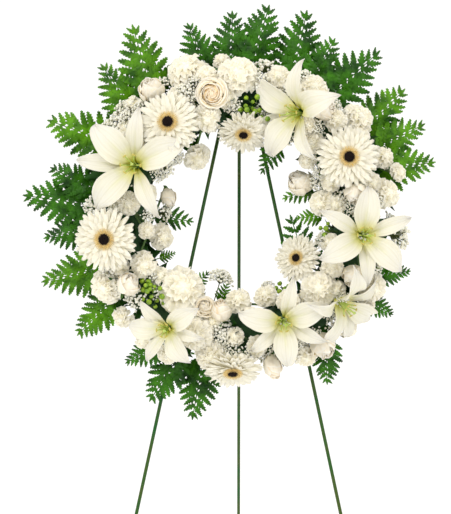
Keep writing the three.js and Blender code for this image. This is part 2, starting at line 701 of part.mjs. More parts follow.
// A solid swollen by the clearance, to cut its neighbours back with. Each corner moves out along its mean
// normal, and the point of a blade moves further on, away from the corners next to it.
const STEEPEST = 0.35;
const POINT_GROWTH = 3;
function swollen(solid) {
  const { vertProperties: corners, triVerts } = solid.getMesh();
  const corner = (id) => at().fromArray(corners, 3 * id);
  const touching = Array.from({ length: corners.length / 3 }, () => ({ normals: [], beside: [] }));
  for (let i = 0; i < triVerts.length; i += 3) {
    const ids = [0, 1, 2].map((k) => triVerts[i + k]);
    const [a, b, c] = ids.map(corner);
    const normal = b.clone().sub(a).cross(c.clone().sub(a));
    if (normal.length() < 0.01) continue;
    normal.normalize();
    ids.forEach((id, k) => {
      touching[id].normals.push(normal);
      touching[id].beside.push([a, b, c][(k + 1) % 3]);
    });
  }
  const place = touching.flatMap(({ normals, beside }, id) => {
    const mean = normals.reduce((sum, n) => sum.add(n), at()).normalize();
    const steep = Math.min(...normals.map((n) => n.dot(mean)));
    if (steep > STEEPEST) return corner(id).addScaledVector(mean, GAP / steep).toArray();
    const middle = beside.reduce((sum, p) => sum.add(p), at()).divideScalar(beside.length);
    return corner(id).add(corner(id).sub(middle).setLength(POINT_GROWTH)).toArray();
  });
  const vertProperties = new Float32Array(place);
  return new wasm.Manifold(new wasm.Mesh({ numProp: 3, vertProperties, triVerts }));
}

const near = (p, q) => {
  const [s, t] = [p.boundingBox(), q.boundingBox()];
  return [0, 1, 2].every((k) => s.min[k] < t.max[k] && t.min[k] < s.max[k]);
};

// Crossbars in front of the legs. Bent arms with a short upturned lip carry the ring's tray.
const barY = -LEG_RADIUS - GAP - WIRE_RADIUS;
function crossbar(z, half, arms, extra = 0) {
  const radius = WIRE_RADIUS + extra;
  const pieces = [rod(at(-half, barY, z), at(half, barY, z), radius, WIRE_SIDES)];
  for (const x of arms) {
    const front = barY - REST_REACH;
    pieces.push(rod(at(x, barY, z), at(x, front - radius, z), radius, WIRE_SIDES));
    pieces.push(rod(at(x, front, z), at(x, front, z + REST_LIP + extra), radius * 0.9, WIRE_SIDES));
  }
  return fuse(pieces);
}
const halfSpan = (drop) => drop * Math.tan(LEG_SPREAD);
const trayInside = (RING_RADIUS - TRAY_HALF) * Math.cos(Math.PI / RING_STEPS);
const trayBelow = Math.sqrt((RING_RADIUS + TRAY_HALF) ** 2 - (REST_SPAN - WIRE_RADIUS) ** 2);
const upperDrop = RING_DROP - trayInside + GAP + WIRE_RADIUS;
const lowerDrop = RING_DROP + trayBelow + GAP + WIRE_RADIUS;
const UPPER_BAR = [-upperDrop, halfSpan(upperDrop) + UPPER_OVERHANG, [0]];
const LOWER_BAR = [-lowerDrop, halfSpan(lowerDrop) + LOWER_OVERHANG, [-REST_SPAN, REST_SPAN]];

const wreath = new THREE.Group();
wreath.position.set(0, -LEG_RADIUS - GAP - 2 * WIRE_RADIUS - GAP, -RING_DROP);
const armRooms = [UPPER_BAR, LOWER_BAR].map((bar) => ({
  room: crossbar(...bar, GAP).translate(wreath.position.clone().negate().toArray()),
}));
function addPiece(group, name, solid, material) {
  const mesh = new THREE.Mesh(geometryOf(solid), material);
  mesh.name = name;
  group.add(mesh);
}

// Each head is cut back from the stems, the foam, the easel's arms and the heads before it. Edges shorter
// than SLIVER are dropped.
const SLIVER = 0.01;
const done = [];
const stemRooms = [];
for (const { name, material, heads, stem, seat } of nodes) {
  const others = [...stems, ...done].filter((piece) => piece.name !== name && piece.name !== seat);
  const cutters = [...others, { room: foamRoom }, ...armRooms];
  const trimmed = heads.map((head) => {
    let body = head;
    for (const { room } of cutters) if (near(body, room)) body = body.subtract(room);
    return mainBody(body);
  });
  let whole = fuse(trimmed);
  done.push(...trimmed.map((body) => ({ name, room: swollen(body).add(body) })));
  if (stem) {
    let stalk = stem.solid;
    for (const room of stemRooms) if (near(stalk, room)) stalk = stalk.subtract(room);
    stemRooms.push(stem.room);
    whole = whole.add(stalk);
  }
  whole = mainBody(whole);
  addPiece(wreath, name, whole.simplify(SLIVER), material);
}
addPiece(wreath, "foam_ring", foam, foamGreen);
addPiece(wreath, "ring_tray", tray, trayGreen);

// The easel's front frame, with its apex at the group's origin and its plane at y = 0.
const frame = new THREE.Group();
frame.rotation.x = -FRONT_LEAN;
frame.position.z = LEG_LENGTH * Math.cos(LEG_SPREAD) * Math.cos(FRONT_LEAN);
frame.add(wreath);
frame.updateMatrixWorld(true);

const legWay = (side) => at(side * Math.sin(LEG_SPREAD), 0, -Math.cos(LEG_SPREAD));
const legAt = (side, distance) => legWay(side).multiplyScalar(distance);

// A big block under the floor, in the frame of `group`, that cuts the vinyl tips flat.
function floorBlock(group) {
  group.updateMatrixWorld(true);
  const block = new THREE.BoxGeometry(3000, 3000, 400).translate(0, 0, -200);
  return solidOf(block.applyMatrix4(group.matrixWorld.clone().invert()));
}

// A vinyl tip pushed over a leg's end. `floor` is where the leg's axis meets the floor.
function vinylTip(floor, up, ground) {
  const along = (distance) => floor.clone().addScaledVector(up, distance);
  const outside = rod(along(-6), along(TIP_LENGTH), TIP_RADIUS, 10);
  const bore = rod(along(LEG_END - GAP), along(TIP_LENGTH + 5), LEG_RADIUS + GAP, LEG_SIDES);
  return outside.subtract(bore).subtract(ground);
}

const ground = floorBlock(frame);
for (const [side, word] of [
  [-1, "left"],
  [1, "right"],
]) {
  const leg = rodGeometry(legAt(side, LEG_TOP), legAt(side, LEG_LENGTH - LEG_END), LEG_RADIUS, LEG_SIDES);
  const mesh = new THREE.Mesh(leg, easelGreen);
  mesh.name = "leg_front_" + word;
  frame.add(mesh);
  const tip = vinylTip(legAt(side, LEG_LENGTH), legWay(side).negate(), ground);
  addPiece(frame, "foot_front_" + word, tip, vinyl);
}

// Crimped sleeve that holds the tops of the two front legs.
const sleeveHalf = (drop) => halfSpan(drop) + LEG_RADIUS + GAP + SLEEVE_WALL;
const sleeveShape = new THREE.Shape([
  new THREE.Vector2(-sleeveHalf(SLEEVE_END), -SLEEVE_END),
  new THREE.Vector2(sleeveHalf(SLEEVE_END), -SLEEVE_END),
  new THREE.Vector2(sleeveHalf(SLEEVE_TOP), -SLEEVE_TOP),
  new THREE.Vector2(-sleeveHalf(SLEEVE_TOP), -SLEEVE_TOP),
]);
const sleeveBlock = new THREE.ExtrudeGeometry(sleeveShape, { depth: SLEEVE_DEPTH, bevelEnabled: false });
sleeveBlock.translate(0, 0, -SLEEVE_DEPTH / 2).rotateX(Math.PI / 2);
const sleeve = [-1, 1].reduce(
  (left, side) => left.subtract(rod(legAt(side, 5), legAt(side, 90), LEG_RADIUS + GAP, LEG_SIDES)),
  solidOf(sleeveBlock),
);
addPiece(frame, "apex_sleeve", sleeve, easelGreen);

// Hinge bar welded behind the legs, with two collars that keep the back leg's eye in the middle.
const hingeY = LEG_RADIUS + GAP + LEG_RADIUS;
const hingeHalf = halfSpan(HINGE_DROP) + HINGE_OVERHANG;
const onBar = (x) => at(x, hingeY, -HINGE_DROP);
const collarStart = EYE_WIDTH / 2 + COLLAR_GAP;
const collars = [-1, 1].map((side) =>
  rod(onBar(side * collarStart), onBar(side * (collarStart + COLLAR_WIDTH)), COLLAR_RADIUS, 8),
);
const hingeRod = rod(onBar(-hingeHalf), onBar(hingeHalf), LEG_RADIUS, 8);
addPiece(frame, "hinge_bar", fuse([hingeRod, ...collars]), easelGreen);

addPiece(frame, "crossbar_upper", crossbar(...UPPER_BAR), easelGreen);
addPiece(frame, "crossbar_lower", crossbar(...LOWER_BAR), easelGreen);

// The back leg turns about the hinge bar. Its heel lies on the sleeve's back and stops the leg when it is
// open.
const backLeg = new THREE.Group();
backLeg.position.copy(frame.localToWorld(onBar(0)));
backLeg.rotation.x = BACK_LEG_OPEN - FRONT_LEAN;
const backLength = backLeg.position.z / Math.cos(backLeg.rotation.x);
const eyeRing = new THREE.LatheGeometry(
  [
    [EYE_BORE, -EYE_WIDTH / 2],
    [EYE_RADIUS, -EYE_WIDTH / 2],
    [EYE_RADIUS, EYE_WIDTH / 2],
    [EYE_BORE, EYE_WIDTH / 2],
    [EYE_BORE, -EYE_WIDTH / 2],
  ].map(([r, y]) => new THREE.Vector2(r, y)),
  12,
).rotateZ(Math.PI / 2);
const heelOffset = SLEEVE_DEPTH / 2 + GAP + LEG_RADIUS - hingeY;
const heelRod = rodGeometry(at(0, heelOffset, EYE_OVERLAP), at(0, heelOffset, HEEL_LENGTH), LEG_RADIUS, 8);
const heel = solidOf(heelRod.rotateX(-BACK_LEG_OPEN));
const shaft = rod(at(0, 0, -EYE_OVERLAP), at(0, 0, LEG_END - backLength), LEG_RADIUS, LEG_SIDES);
addPiece(backLeg, "leg_back", fuse([solidOf(eyeRing), heel, shaft]), easelGreen);
addPiece(backLeg, "foot_back", vinylTip(at(0, 0, -backLength), at(0, 0, 1), floorBlock(backLeg)), vinyl);

// The whole object, set so that the middle of its box stands on the origin.
const standing = new THREE.Group();
standing.add(frame, backLeg);
const box = new THREE.Box3().setFromObject(standing, true);
standing.position.set(-(box.min.x + box.max.x) / 2, -(box.min.y + box.max.y) / 2, 0);
standing.updateMatrixWorld(true);

export default standing;
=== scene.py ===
# A standing funeral wreath: white lilies, gerberas, roses, carnations and baby's breath with
# leatherleaf fern, pushed into a floral-foam ring that hangs on a folding wire easel. Metres, +Z up,
# the wreath's face towards -Y.

import json
import math
import random

import bpy
from mathutils import Matrix, Vector


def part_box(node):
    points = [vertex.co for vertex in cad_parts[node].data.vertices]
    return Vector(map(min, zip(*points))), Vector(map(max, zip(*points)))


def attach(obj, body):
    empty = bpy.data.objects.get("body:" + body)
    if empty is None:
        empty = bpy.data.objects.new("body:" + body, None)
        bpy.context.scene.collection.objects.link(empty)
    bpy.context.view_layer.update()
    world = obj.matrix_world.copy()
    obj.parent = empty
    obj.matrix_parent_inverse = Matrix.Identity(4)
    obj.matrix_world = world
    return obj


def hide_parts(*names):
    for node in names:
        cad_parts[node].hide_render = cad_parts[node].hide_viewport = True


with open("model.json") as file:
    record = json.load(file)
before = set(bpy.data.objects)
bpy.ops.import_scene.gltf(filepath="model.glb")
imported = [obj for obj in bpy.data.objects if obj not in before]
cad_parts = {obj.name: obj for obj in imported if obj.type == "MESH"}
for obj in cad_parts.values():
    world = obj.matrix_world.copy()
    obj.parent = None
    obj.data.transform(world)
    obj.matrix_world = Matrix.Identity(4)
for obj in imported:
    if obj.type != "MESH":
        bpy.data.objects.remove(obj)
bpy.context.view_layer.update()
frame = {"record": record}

# The wreath leans back with the easel's front legs. Its own frame starts at the hub, the middle of the
# tray's back: x to the right and z up as seen from the front, and y into the tray. Blooms are laid out
# in that frame.
LEAN = math.radians(12)
TRAY_DEPTH = 0.022
lean = Matrix.Rotation(-LEAN, 4, "X")
tray_low, tray_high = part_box("ring_tray")
hub = (tray_low + tray_high) / 2 - lean @ Vector((0, -TRAY_DEPTH / 2, 0))
wreath = Matrix.Translation(hub) @ lean

# The easel's two front legs: 6 mm steel wire, 54 inches long, dipped in dark green enamel. They lie in
# the leaning plane just behind the tray and spread from the apex. The enamel is glossy, and its colour
# drifts at random between dark green and olive.
LEG_LENGTH = 1.372
LEG_RADIUS = 0.003
LEG_TOP = 0.016
LEG_END = 0.007
LEG_SPREAD = math.radians(12.2)
LEG_PLANE = 0.0086
RING_DROP = 0.303
GRAIN_DETAIL = 3
FINE_GRAIN = 6
TONE_SPAN = (0.3, 0.7)
SHARP_EDGE = math.radians(50)


def fresh_finish(name, roughness, sockets):
    """A new material with these shader sockets set, its nodes, its link function and its shader."""
    made = bpy.data.materials.new(name)
    made.use_nodes = True
    shader = made.node_tree.nodes["Principled BSDF"]
    shader.inputs["Roughness"].default_value = roughness
    for socket, value in sockets.items():
        shader.inputs[socket].default_value = value
    return made, made.node_tree.nodes, made.node_tree.links.new, shader


def grain(nodes, link, vector, scale, detail):
    """Noise of one scale over a vector."""
    noise = nodes.new("ShaderNodeTexNoise")
    noise.inputs["Scale"].default_value = scale
    noise.inputs["Detail"].default_value = detail
    link(vector, noise.inputs["Vector"])
    return noise.outputs["Fac"]


def ramped(nodes, link, factor, stops):
    """The colour that a ramp of [position, colour] stops gives to a factor."""
    ramp = nodes.new("ShaderNodeValToRGB")
    elements = ramp.color_ramp.elements
    while len(elements) < len(stops):
        elements.new(0.5)
    for element, (position, colour) in zip(elements, stops):
        element.position = position
        element.color = (*colour, 1)
    link(factor, ramp.inputs["Fac"])
    return ramp.outputs["Color"]


def raised(nodes, link, shader, height, distance):
    """Lifts the surface of a shader by a height."""
    lift = nodes.new("ShaderNodeBump")
    lift.inputs["Distance"].default_value = distance
    link(height, lift.inputs["Height"])
    link(lift.outputs["Normal"], shader.inputs["Normal"])


def coat(name, colours, scale, bump, roughness, **sockets):
    """A finish whose coarse grain runs between two colours, while a finer grain lifts it by `bump`."""
    made, nodes, link, shader = fresh_finish(name, roughness, sockets)
    place = nodes.new("ShaderNodeTexCoord").outputs["Object"]
    tone = grain(nodes, link, place, scale, GRAIN_DETAIL)
    link(ramped(nodes, link, tone, list(zip(TONE_SPAN, colours))), shader.inputs["Base Color"])
    raised(nodes, link, shader, grain(nodes, link, place, scale * FINE_GRAIN, GRAIN_DETAIL), bump)
    return made


def shaped(piece, kind, **values):
    """Adds a modifier of `kind` to the piece and applies it."""
    bpy.context.view_layer.objects.active = piece
    modifier = piece.modifiers.new("shape", kind)
    for name, value in values.items():
        setattr(modifier, name, value)
    bpy.ops.object.modifier_apply(modifier=modifier.name)


def rounded(piece, width, segments):
    """Bevels the sharp edges of the piece."""
    shaped(piece, "BEVEL", width=width, segments=segments, limit_method="ANGLE", angle_limit=SHARP_EDGE)


def bar(start, end, radius, sides=24, bevel=0.0006):
    """A round bar between two points, with its ends bevelled."""
    bpy.ops.object.select_all(action="DESELECT")
    way = end - start
    bpy.ops.mesh.primitive_cylinder_add(
        vertices=sides, radius=radius, depth=way.length, location=(start + end) / 2,
        rotation=way.to_track_quat("Z", "Y").to_euler())
    rod = bpy.context.object
    bpy.ops.object.transform_apply()
    rounded(rod, bevel, 2)
    return rod


def picked(pieces):
    """Selects these pieces alone, with the first of them active."""
    bpy.ops.object.select_all(action="DESELECT")
    for piece in pieces:
        piece.select_set(True)
    bpy.context.view_layer.objects.active = pieces[0]


def joined(pieces):
    """The pieces joined into the first of them."""
    picked(pieces)
    bpy.ops.object.join()
    return pieces[0]


def settled(piece, name, body, finish, nodes=(), crease=40):
    """Names a finished piece, gives it its finish where it has none, hangs it on its body, hides its nodes.
    """
    piece.name = piece.data.name = name
    if finish:
        piece.data.materials.clear()
        piece.data.materials.append(finish)
    picked([piece])
    bpy.ops.object.shade_smooth_by_angle(angle=math.radians(crease))
    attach(piece, body)
    for node in nodes:
        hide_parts(node)
    return piece


def on_easel(x, drop, back=0.0):
    """A point of the easel's front: across, down from the apex along the lean, and behind the legs."""
    return wreath @ Vector((x, LEG_PLANE + back, RING_DROP - drop))


enamel = coat("dark green enamel", [(0.006, 0.085, 0.01), (0.05, 0.085, 0.008)], 34, 0.0002, 0.35,
              **{"Coat Weight": 0.05, "Specular IOR Level": 0.25})
for side, word in ((-1, "left"), (1, "right")):
    top = on_easel(side * LEG_TOP * math.sin(LEG_SPREAD), LEG_TOP * math.cos(LEG_SPREAD))
    low = LEG_LENGTH - LEG_END
    foot = on_easel(side * low * math.sin(LEG_SPREAD), low * math.cos(LEG_SPREAD))
    settled(bar(top, foot, LEG_RADIUS), "enamelled_leg_" + word, "stand", enamel,
            ["leg_front_" + word])

# Vinyl tips pushed over the three legs' ends keep them from slipping. Each is a short dark sleeve with
# a rolled collar at its mouth, cut flat where it meets the floor.
TIP_RADIUS = 0.0052
TIP_LENGTH = 0.030
TIP_SURPLUS = 0.006
COLLAR_INSET = 0.002
COLLAR_BEAD = 0.0009
CUT_HEIGHT = 0.00005
vinyl = coat("dark vinyl", [(0.012, 0.035, 0.016), (0.02, 0.055, 0.024)], 60, 0.0003, 0.6)


def vinyl_tip(floor, up):
    """A vinyl tip over a leg whose axis meets the floor at `floor` and runs along `up`."""
    sleeve = bar(floor - up * TIP_SURPLUS, floor + up * TIP_LENGTH, TIP_RADIUS, 32, 0.001)
    mouth = floor + up * (TIP_LENGTH - COLLAR_INSET)
    bpy.ops.mesh.primitive_torus_add(
        major_radius=TIP_RADIUS, minor_radius=COLLAR_BEAD, major_segments=32, minor_segments=8,
        location=mouth, rotation=up.to_track_quat("Z", "Y").to_euler())
    collar = bpy.context.object
    bpy.ops.object.transform_apply()
    whole = joined([sleeve, collar])
    bpy.ops.object.mode_set(mode="EDIT")
    bpy.ops.mesh.select_all(action="SELECT")
    bpy.ops.mesh.bisect(plane_co=(0, 0, CUT_HEIGHT), plane_no=(0, 0, 1), use_fill=True, clear_inner=True)
    bpy.ops.object.mode_set(mode="OBJECT")
    return whole


for side, word in ((-1, "left"), (1, "right")):
    floor = on_easel(side * LEG_LENGTH * math.sin(LEG_SPREAD), LEG_LENGTH * math.cos(LEG_SPREAD))
    up = (on_easel(0, 0) - floor).normalized()
    settled(vinyl_tip(floor, up), "vinyl_tip_" + word, "stand", vinyl, ["foot_front_" + word])

# The apex sleeve: a flattened steel collar crimped round the tops of both legs, in the same enamel. Two
# shallow crimps run across its front and back.
SLEEVE_TOP = 0.020
SLEEVE_END = 0.054
SLEEVE_DEPTH = 0.0094
SLEEVE_MARGIN = 0.0053
SLEEVE_BEVEL = 0.0022
CRIMP_DEPTH = 0.13
CRIMP_PLACE = 0.25
CRIMP_WIDTH = 0.09
bpy.ops.mesh.primitive_cube_add(size=1)
sleeve = bpy.context.object
shaped(sleeve, "SUBSURF", subdivision_type="SIMPLE", levels=3, render_levels=3)
for corner in sleeve.data.vertices:
    drop = SLEEVE_TOP + (0.5 - corner.co.z) * (SLEEVE_END - SLEEVE_TOP)
    half = drop * math.tan(LEG_SPREAD) + SLEEVE_MARGIN
    crimp = 1 - CRIMP_DEPTH * math.exp(-((abs(corner.co.z) - CRIMP_PLACE) / CRIMP_WIDTH) ** 2)
    corner.co = on_easel(corner.co.x * 2 * half, drop, corner.co.y * SLEEVE_DEPTH * crimp)
rounded(sleeve, SLEEVE_BEVEL, 3)
settled(sleeve, "crimped_apex_sleeve", "stand", enamel, ["apex_sleeve"])

# The hinge bar is welded across the backs of the legs below the sleeve. Two pressed collars keep the
# back leg's eye in the middle.
HINGE_DROP = 0.066
HINGE_BACK = 0.0063
HINGE_OVERHANG = 0.005
EYE_WIDTH = 0.006
COLLAR_GAP = 0.0006
COLLAR_WIDTH = 0.0028
COLLAR_RADIUS = 0.0048
hinge_half = HINGE_DROP * math.tan(LEG_SPREAD) + HINGE_OVERHANG


def across_hinge(start, end, radius):
    """A round bar along the hinge's axis, from one place across to another."""
    return bar(on_easel(start, HINGE_DROP, HINGE_BACK), on_easel(end, HINGE_DROP, HINGE_BACK), radius)


hinge_pieces = [across_hinge(-hinge_half, hinge_half, LEG_RADIUS)]
for side in (-1, 1):
    inner = side * (EYE_WIDTH / 2 + COLLAR_GAP)
    hinge_pieces.append(across_hinge(inner, inner + side * COLLAR_WIDTH, COLLAR_RADIUS))
settled(joined(hinge_pieces), "welded_hinge_bar", "stand", enamel, ["hinge_bar"])

# Two crossbars of 5 mm wire are welded to the fronts of the legs. Bent arms on them, with upturned
# lips, carry the tray: one under the top of its hole and two under its rim.
WIRE_RADIUS = 0.0025
BAR_FORWARD = 0.0058
ARM_REACH = 0.035
ARM_LIP = 0.006
ARM_BEND = 0.003
REST_SPAN = 0.095
# Each crossbar's drop below the apex, its half length, and where its arms stand.
CROSSBARS = {"upper": (0.1494, 0.0383, [0]), "lower": (0.5186, 0.1201, [-REST_SPAN, REST_SPAN])}


def sealed(threshold):
    """Merges the doubles of the picked mesh and turns its faces outwards."""
    bpy.ops.object.mode_set(mode="EDIT")
    bpy.ops.mesh.select_all(action="SELECT")
    bpy.ops.mesh.remove_doubles(threshold=threshold)
    bpy.ops.mesh.normals_make_consistent(inside=False)
    bpy.ops.object.mode_set(mode="OBJECT")


def wire(points, radius, bend, sides):
    """A round wire along straight runs, with each inner corner rounded off, as a closed mesh."""
    route = [points[0]]
    for before, corner, after in zip(points, points[1:], points[2:]):
        a, b = (before - corner).normalized() * bend, (after - corner).normalized() * bend
        for t in (0, 0.25, 0.5, 0.75, 1):
            route.append(corner + a * (1 - t) ** 2 + b * t ** 2)
    route.append(points[-1])
    curve = bpy.data.curves.new("wire", "CURVE")
    curve.dimensions, curve.bevel_depth, curve.bevel_resolution = "3D", radius, sides // 2 - 2
    curve.use_fill_caps = True
    spline = curve.splines.new("POLY")
    spline.points.add(len(route) - 1)
    for point, spot in zip(spline.points, route):
        point.co = (*spot, 1)
    made = bpy.data.objects.new("wire", curve)
    bpy.context.collection.objects.link(made)
    picked([made])
    bpy.ops.object.convert(target="MESH")
    sealed(1e-6)
    return bpy.context.object


for name, (drop, half, arms) in CROSSBARS.items():
    front = -BAR_FORWARD - ARM_REACH
    pieces = [bar(on_easel(-half, drop, -BAR_FORWARD), on_easel(half, drop, -BAR_FORWARD), WIRE_RADIUS)]
    for x in arms:
        lip = on_easel(x, drop - ARM_LIP, front)
        arm = [on_easel(x, drop, -BAR_FORWARD), on_easel(x, drop, front), lip]
        pieces.append(wire(arm, WIRE_RADIUS, ARM_BEND, 16))
    settled(joined(pieces), "wire_crossbar_" + name, "stand", enamel, ["crossbar_" + name])

# The back leg is a bar with a flattened eye that turns on the hinge bar. Its heel runs up behind the
# sleeve and stops the leg when it stands open.
BACK_LEG_OPEN = math.radians(30)
EYE_RADIUS = 0.0089
EYE_HOLE = 0.0034
HEEL_LENGTH = 0.030
HEEL_OFFSET = 0.0014
WELD_OFFSET = 0.0062
hinge = Vector(frame["record"]["behaviour"]["joints"][0]["pos_m"])
down = Vector((0, math.sin(BACK_LEG_OPEN - LEAN), -math.cos(BACK_LEG_OPEN - LEAN)))
frame_up = (on_easel(0, 0) - on_easel(0, 1)).normalized()
frame_back = (on_easel(0, 0, 1) - on_easel(0, 0)).normalized()
back_length = hinge.z / math.cos(BACK_LEG_OPEN - LEAN)
bpy.ops.object.select_all(action="DESELECT")
bpy.ops.mesh.primitive_cylinder_add(vertices=32, radius=EYE_RADIUS, depth=EYE_WIDTH, end_fill_type="NOTHING",
                                    location=hinge, rotation=(0, math.pi / 2, 0))
eye = bpy.context.object
bpy.ops.object.transform_apply()
shaped(eye, "SOLIDIFY", thickness=EYE_RADIUS - EYE_HOLE, offset=-1)
rounded(eye, 0.0006, 2)
heel_start = hinge + frame_back * HEEL_OFFSET + frame_up * WELD_OFFSET
heel = bar(heel_start, heel_start + frame_up * (HEEL_LENGTH - WELD_OFFSET), LEG_RADIUS)
shaft = bar(hinge + down * WELD_OFFSET, hinge + down * (back_length - LEG_END), LEG_RADIUS)
settled(joined([eye, heel, shaft]), "hinged_back_leg", "back_leg", enamel, ["leg_back"])
back_tip = vinyl_tip(hinge + down * back_length, -down)
settled(back_tip, "vinyl_tip_back", "back_leg", vinyl, ["foot_back"])

# The tray is an open ring channel moulded in dark green plastic, 18 inches across. Its rim is rolled,
# and two shallow steps run round its back.
RING_RADIUS = 0.195
TRAY_HALF = 0.037
TRAY_WALL = 0.0018
TRAY_STEPS = 96


def mirrored(half):
    """A whole section from its outer half, as [across, forward] points."""
    return half + [(-across, forward) for across, forward in reversed(half)]


def ring(section, steps):
    """A closed section of [across, forward] points spun round the wreath's axis."""
    mesh = bpy.data.meshes.new("ring")
    count = len(section)
    mesh.from_pydata([wreath @ Vector((RING_RADIUS + across, -forward, 0)) for across, forward in section],
                     [(i, (i + 1) % count) for i in range(count)], [])
    made = bpy.data.objects.new("ring", mesh)
    bpy.context.collection.objects.link(made)
    picked([made])
    bpy.ops.object.mode_set(mode="EDIT")
    bpy.ops.mesh.select_all(action="SELECT")
    bpy.ops.mesh.spin(steps=steps, angle=2 * math.pi, center=hub, axis=lean @ Vector((0, 1, 0)))
    bpy.ops.object.mode_set(mode="OBJECT")
    sealed(1e-5)
    return made


tray_plastic = coat("dark green moulded plastic", [(0.012, 0.045, 0.018), (0.02, 0.07, 0.026)],
                    25, 0.0002, 0.4)
tray_half_section = [
    (0.012, 0.0), (0.0135, 0.0008), (0.026, 0.0008), (0.0275, 0.0), (TRAY_HALF - 0.002, 0.0),
    (TRAY_HALF, 0.002), (TRAY_HALF, TRAY_DEPTH - 0.0022), (TRAY_HALF + 0.0008, TRAY_DEPTH - 0.001),
    (TRAY_HALF - 0.0002, TRAY_DEPTH), (TRAY_HALF - TRAY_WALL, TRAY_DEPTH - 0.0008),
    (TRAY_HALF - TRAY_WALL, 0.0036), (TRAY_HALF - TRAY_WALL - 0.0014, 0.0022)]
tray = ring(mirrored(tray_half_section), TRAY_STEPS)
settled(tray, "moulded_ring_tray", "stand", tray_plastic, ["ring_tray"], 30)

# Floral foam fills the tray and bulges out of its front. It is dark green, soaked with water, and
# crumbly where the stems were pushed in.
FOAM_HALF = 0.0349
FOAM_SHOULDER = 0.042
FOAM_FRONT = 0.060
FOAM_CRUMB = 0.0012
CRUMB_SIZE = 0.004
FOAM_STEPS = 160
foam_green = coat("soaked floral foam", [(0.012, 0.045, 0.014), (0.03, 0.09, 0.03)], 90, 0.0008, 0.95)
foam_half_section = [(FOAM_HALF, 0.0025), (FOAM_HALF, 0.012), (FOAM_HALF, 0.022), (FOAM_HALF, 0.032),
                     (FOAM_HALF, FOAM_SHOULDER), (FOAM_HALF * 0.93, 0.048), (FOAM_HALF * 0.76, 0.0545),
                     (FOAM_HALF * 0.5, 0.0585), (FOAM_HALF * 0.2, FOAM_FRONT)]
foam = ring(mirrored(foam_half_section), FOAM_STEPS)
crumb = bpy.data.textures.new("foam crumb", "CLOUDS")
crumb.noise_scale = CRUMB_SIZE
shaped(foam, "DISPLACE", texture=crumb, strength=-FOAM_CRUMB, mid_level=0.0, texture_coords="LOCAL")
settled(foam, "soaked_foam_ring", "stand", foam_green, ["foam_ring"], 80)

# Leatherleaf fern goes in first, behind the blooms. A frond is a wiry stalk with pinnae on both sides,
# and each pinna is itself cut into small pointed leaflets. Fronds of a bunch share a stalk in the foam.
FOAM_CORE = 0.030
FORK_RADIUS = 0.240
FROND_BASE = 0.248
FROND_LAYERS = (-0.010, -0.019, -0.028)
FROND_RISE = 0.004
FROND_BULGE = 0.006
FROND_DROOP = 0.9
PINNA_PAIRS = 8
# A pinna's pairs of leaflets, and how long the first of them are as a share of it.
FULL_PINNA = (8, 0.29)
PLAIN_PINNA = (5, 0.34)
LEAF_THICKNESS = 0.0005
LEAFLET_SHOULDER = 1.2
LEAFLET_TAPER = 0.5
LEAFLET_FOLD = 0.34
LEAFLET_SPLAY = 54
LEAFLET_SLIM = 0.62
SPINE_SLIM = 0.24
PINNA_SPLAY = 62
SPLAY_LOSS = 26
PINNA_REACH = 0.47
PINNA_FALL = 0.78
PINNA_LEAST = 0.055
BUNCH_FOOT = 0.215
BUNCH_STALK_RADIUS = 0.0022
FROND_STALK_RADIUS = 0.0009
INNER_FOOT = 0.165
INNER_BASE = 0.141
INNER_PAIRS = 6
INNER_BULGE = 0.004
INNER_DROOP = 0.8
BRIGHT_FERNS = ("fern_upper_left", "fern_upper_right", "fern_low_left")
# Each bunch: its stalk's clock angle, its fronds as [the tip's clock angle, its distance from the hub
# in millimetres], and in the same way a frond that points inwards.
FERNS = {
    "fern_upper_left": (141, [(153, 365), (132, 350), (119, 372)], None),
    "fern_top": (95, [(105, 342), (92, 350), (82, 362)], None),
    "fern_top_right": (62, [(72, 370), (62, 344), (50, 368)], (64, 82)),
    "fern_upper_right": (27, [(38, 356), (27, 352), (16, 344)], None),
    "fern_low_right": (-36, [(-17, 305), (-32, 308), (-62, 318)], (4, 86)),
    "fern_bottom_left": (-107, [(-103, 352), (-116, 346), (-128, 312)], None),
    "fern_low_left": (204, [(216, 340), (198, 352)], None),
    "fern_left": (178, [(186, 334), (174, 368), (165, 330)], (185, 76)),
}
# Small fronds between the blooms that reach into the wreath's hole: the stalk's clock angle and the
# tip's [x, z].
SMALL_FRONDS = [(22, 72, 32), (2, 94, 0), (234, -50, -90), (127, -60, 106), (206, -106, -58),
                (256, -18, -106)]
fern_chance = random.Random(11)


def copied(shape, place):
    """A copy of a finished shape with its own mesh, set by a matrix."""
    twin = shape.copy()
    twin.data = shape.data.copy()
    twin.data.transform(place)
    bpy.context.collection.objects.link(twin)
    return twin


def away(shapes):
    """Removes the shapes that were only there to be copied."""
    for shape in shapes:
        bpy.data.objects.remove(shape)


def leaflet(sides, slim):
    """A flat pointed leaflet, 1 long from the origin along X, a little folded at its rib."""
    bpy.ops.object.select_all(action="DESELECT")
    bpy.ops.mesh.primitive_circle_add(vertices=sides, radius=0.5, fill_type="TRIFAN",
                                      rotation=(0, 0, math.pi / 2))
    blade = bpy.context.object
    bpy.ops.object.transform_apply()
    bpy.ops.object.mode_set(mode="EDIT")
    bpy.ops.mesh.select_all(action="SELECT")
    bpy.ops.transform.translate(value=(0.5, 0, 0))
    bpy.ops.transform.resize(value=(1, slim, 1), center_override=(0, 0, 0))
    bpy.ops.object.mode_set(mode="OBJECT")
    for corner in blade.data.vertices:
        corner.co.y *= LEAFLET_SHOULDER - LEAFLET_TAPER * corner.co.x
        corner.co.z += LEAFLET_FOLD * abs(corner.co.y)
    return blade


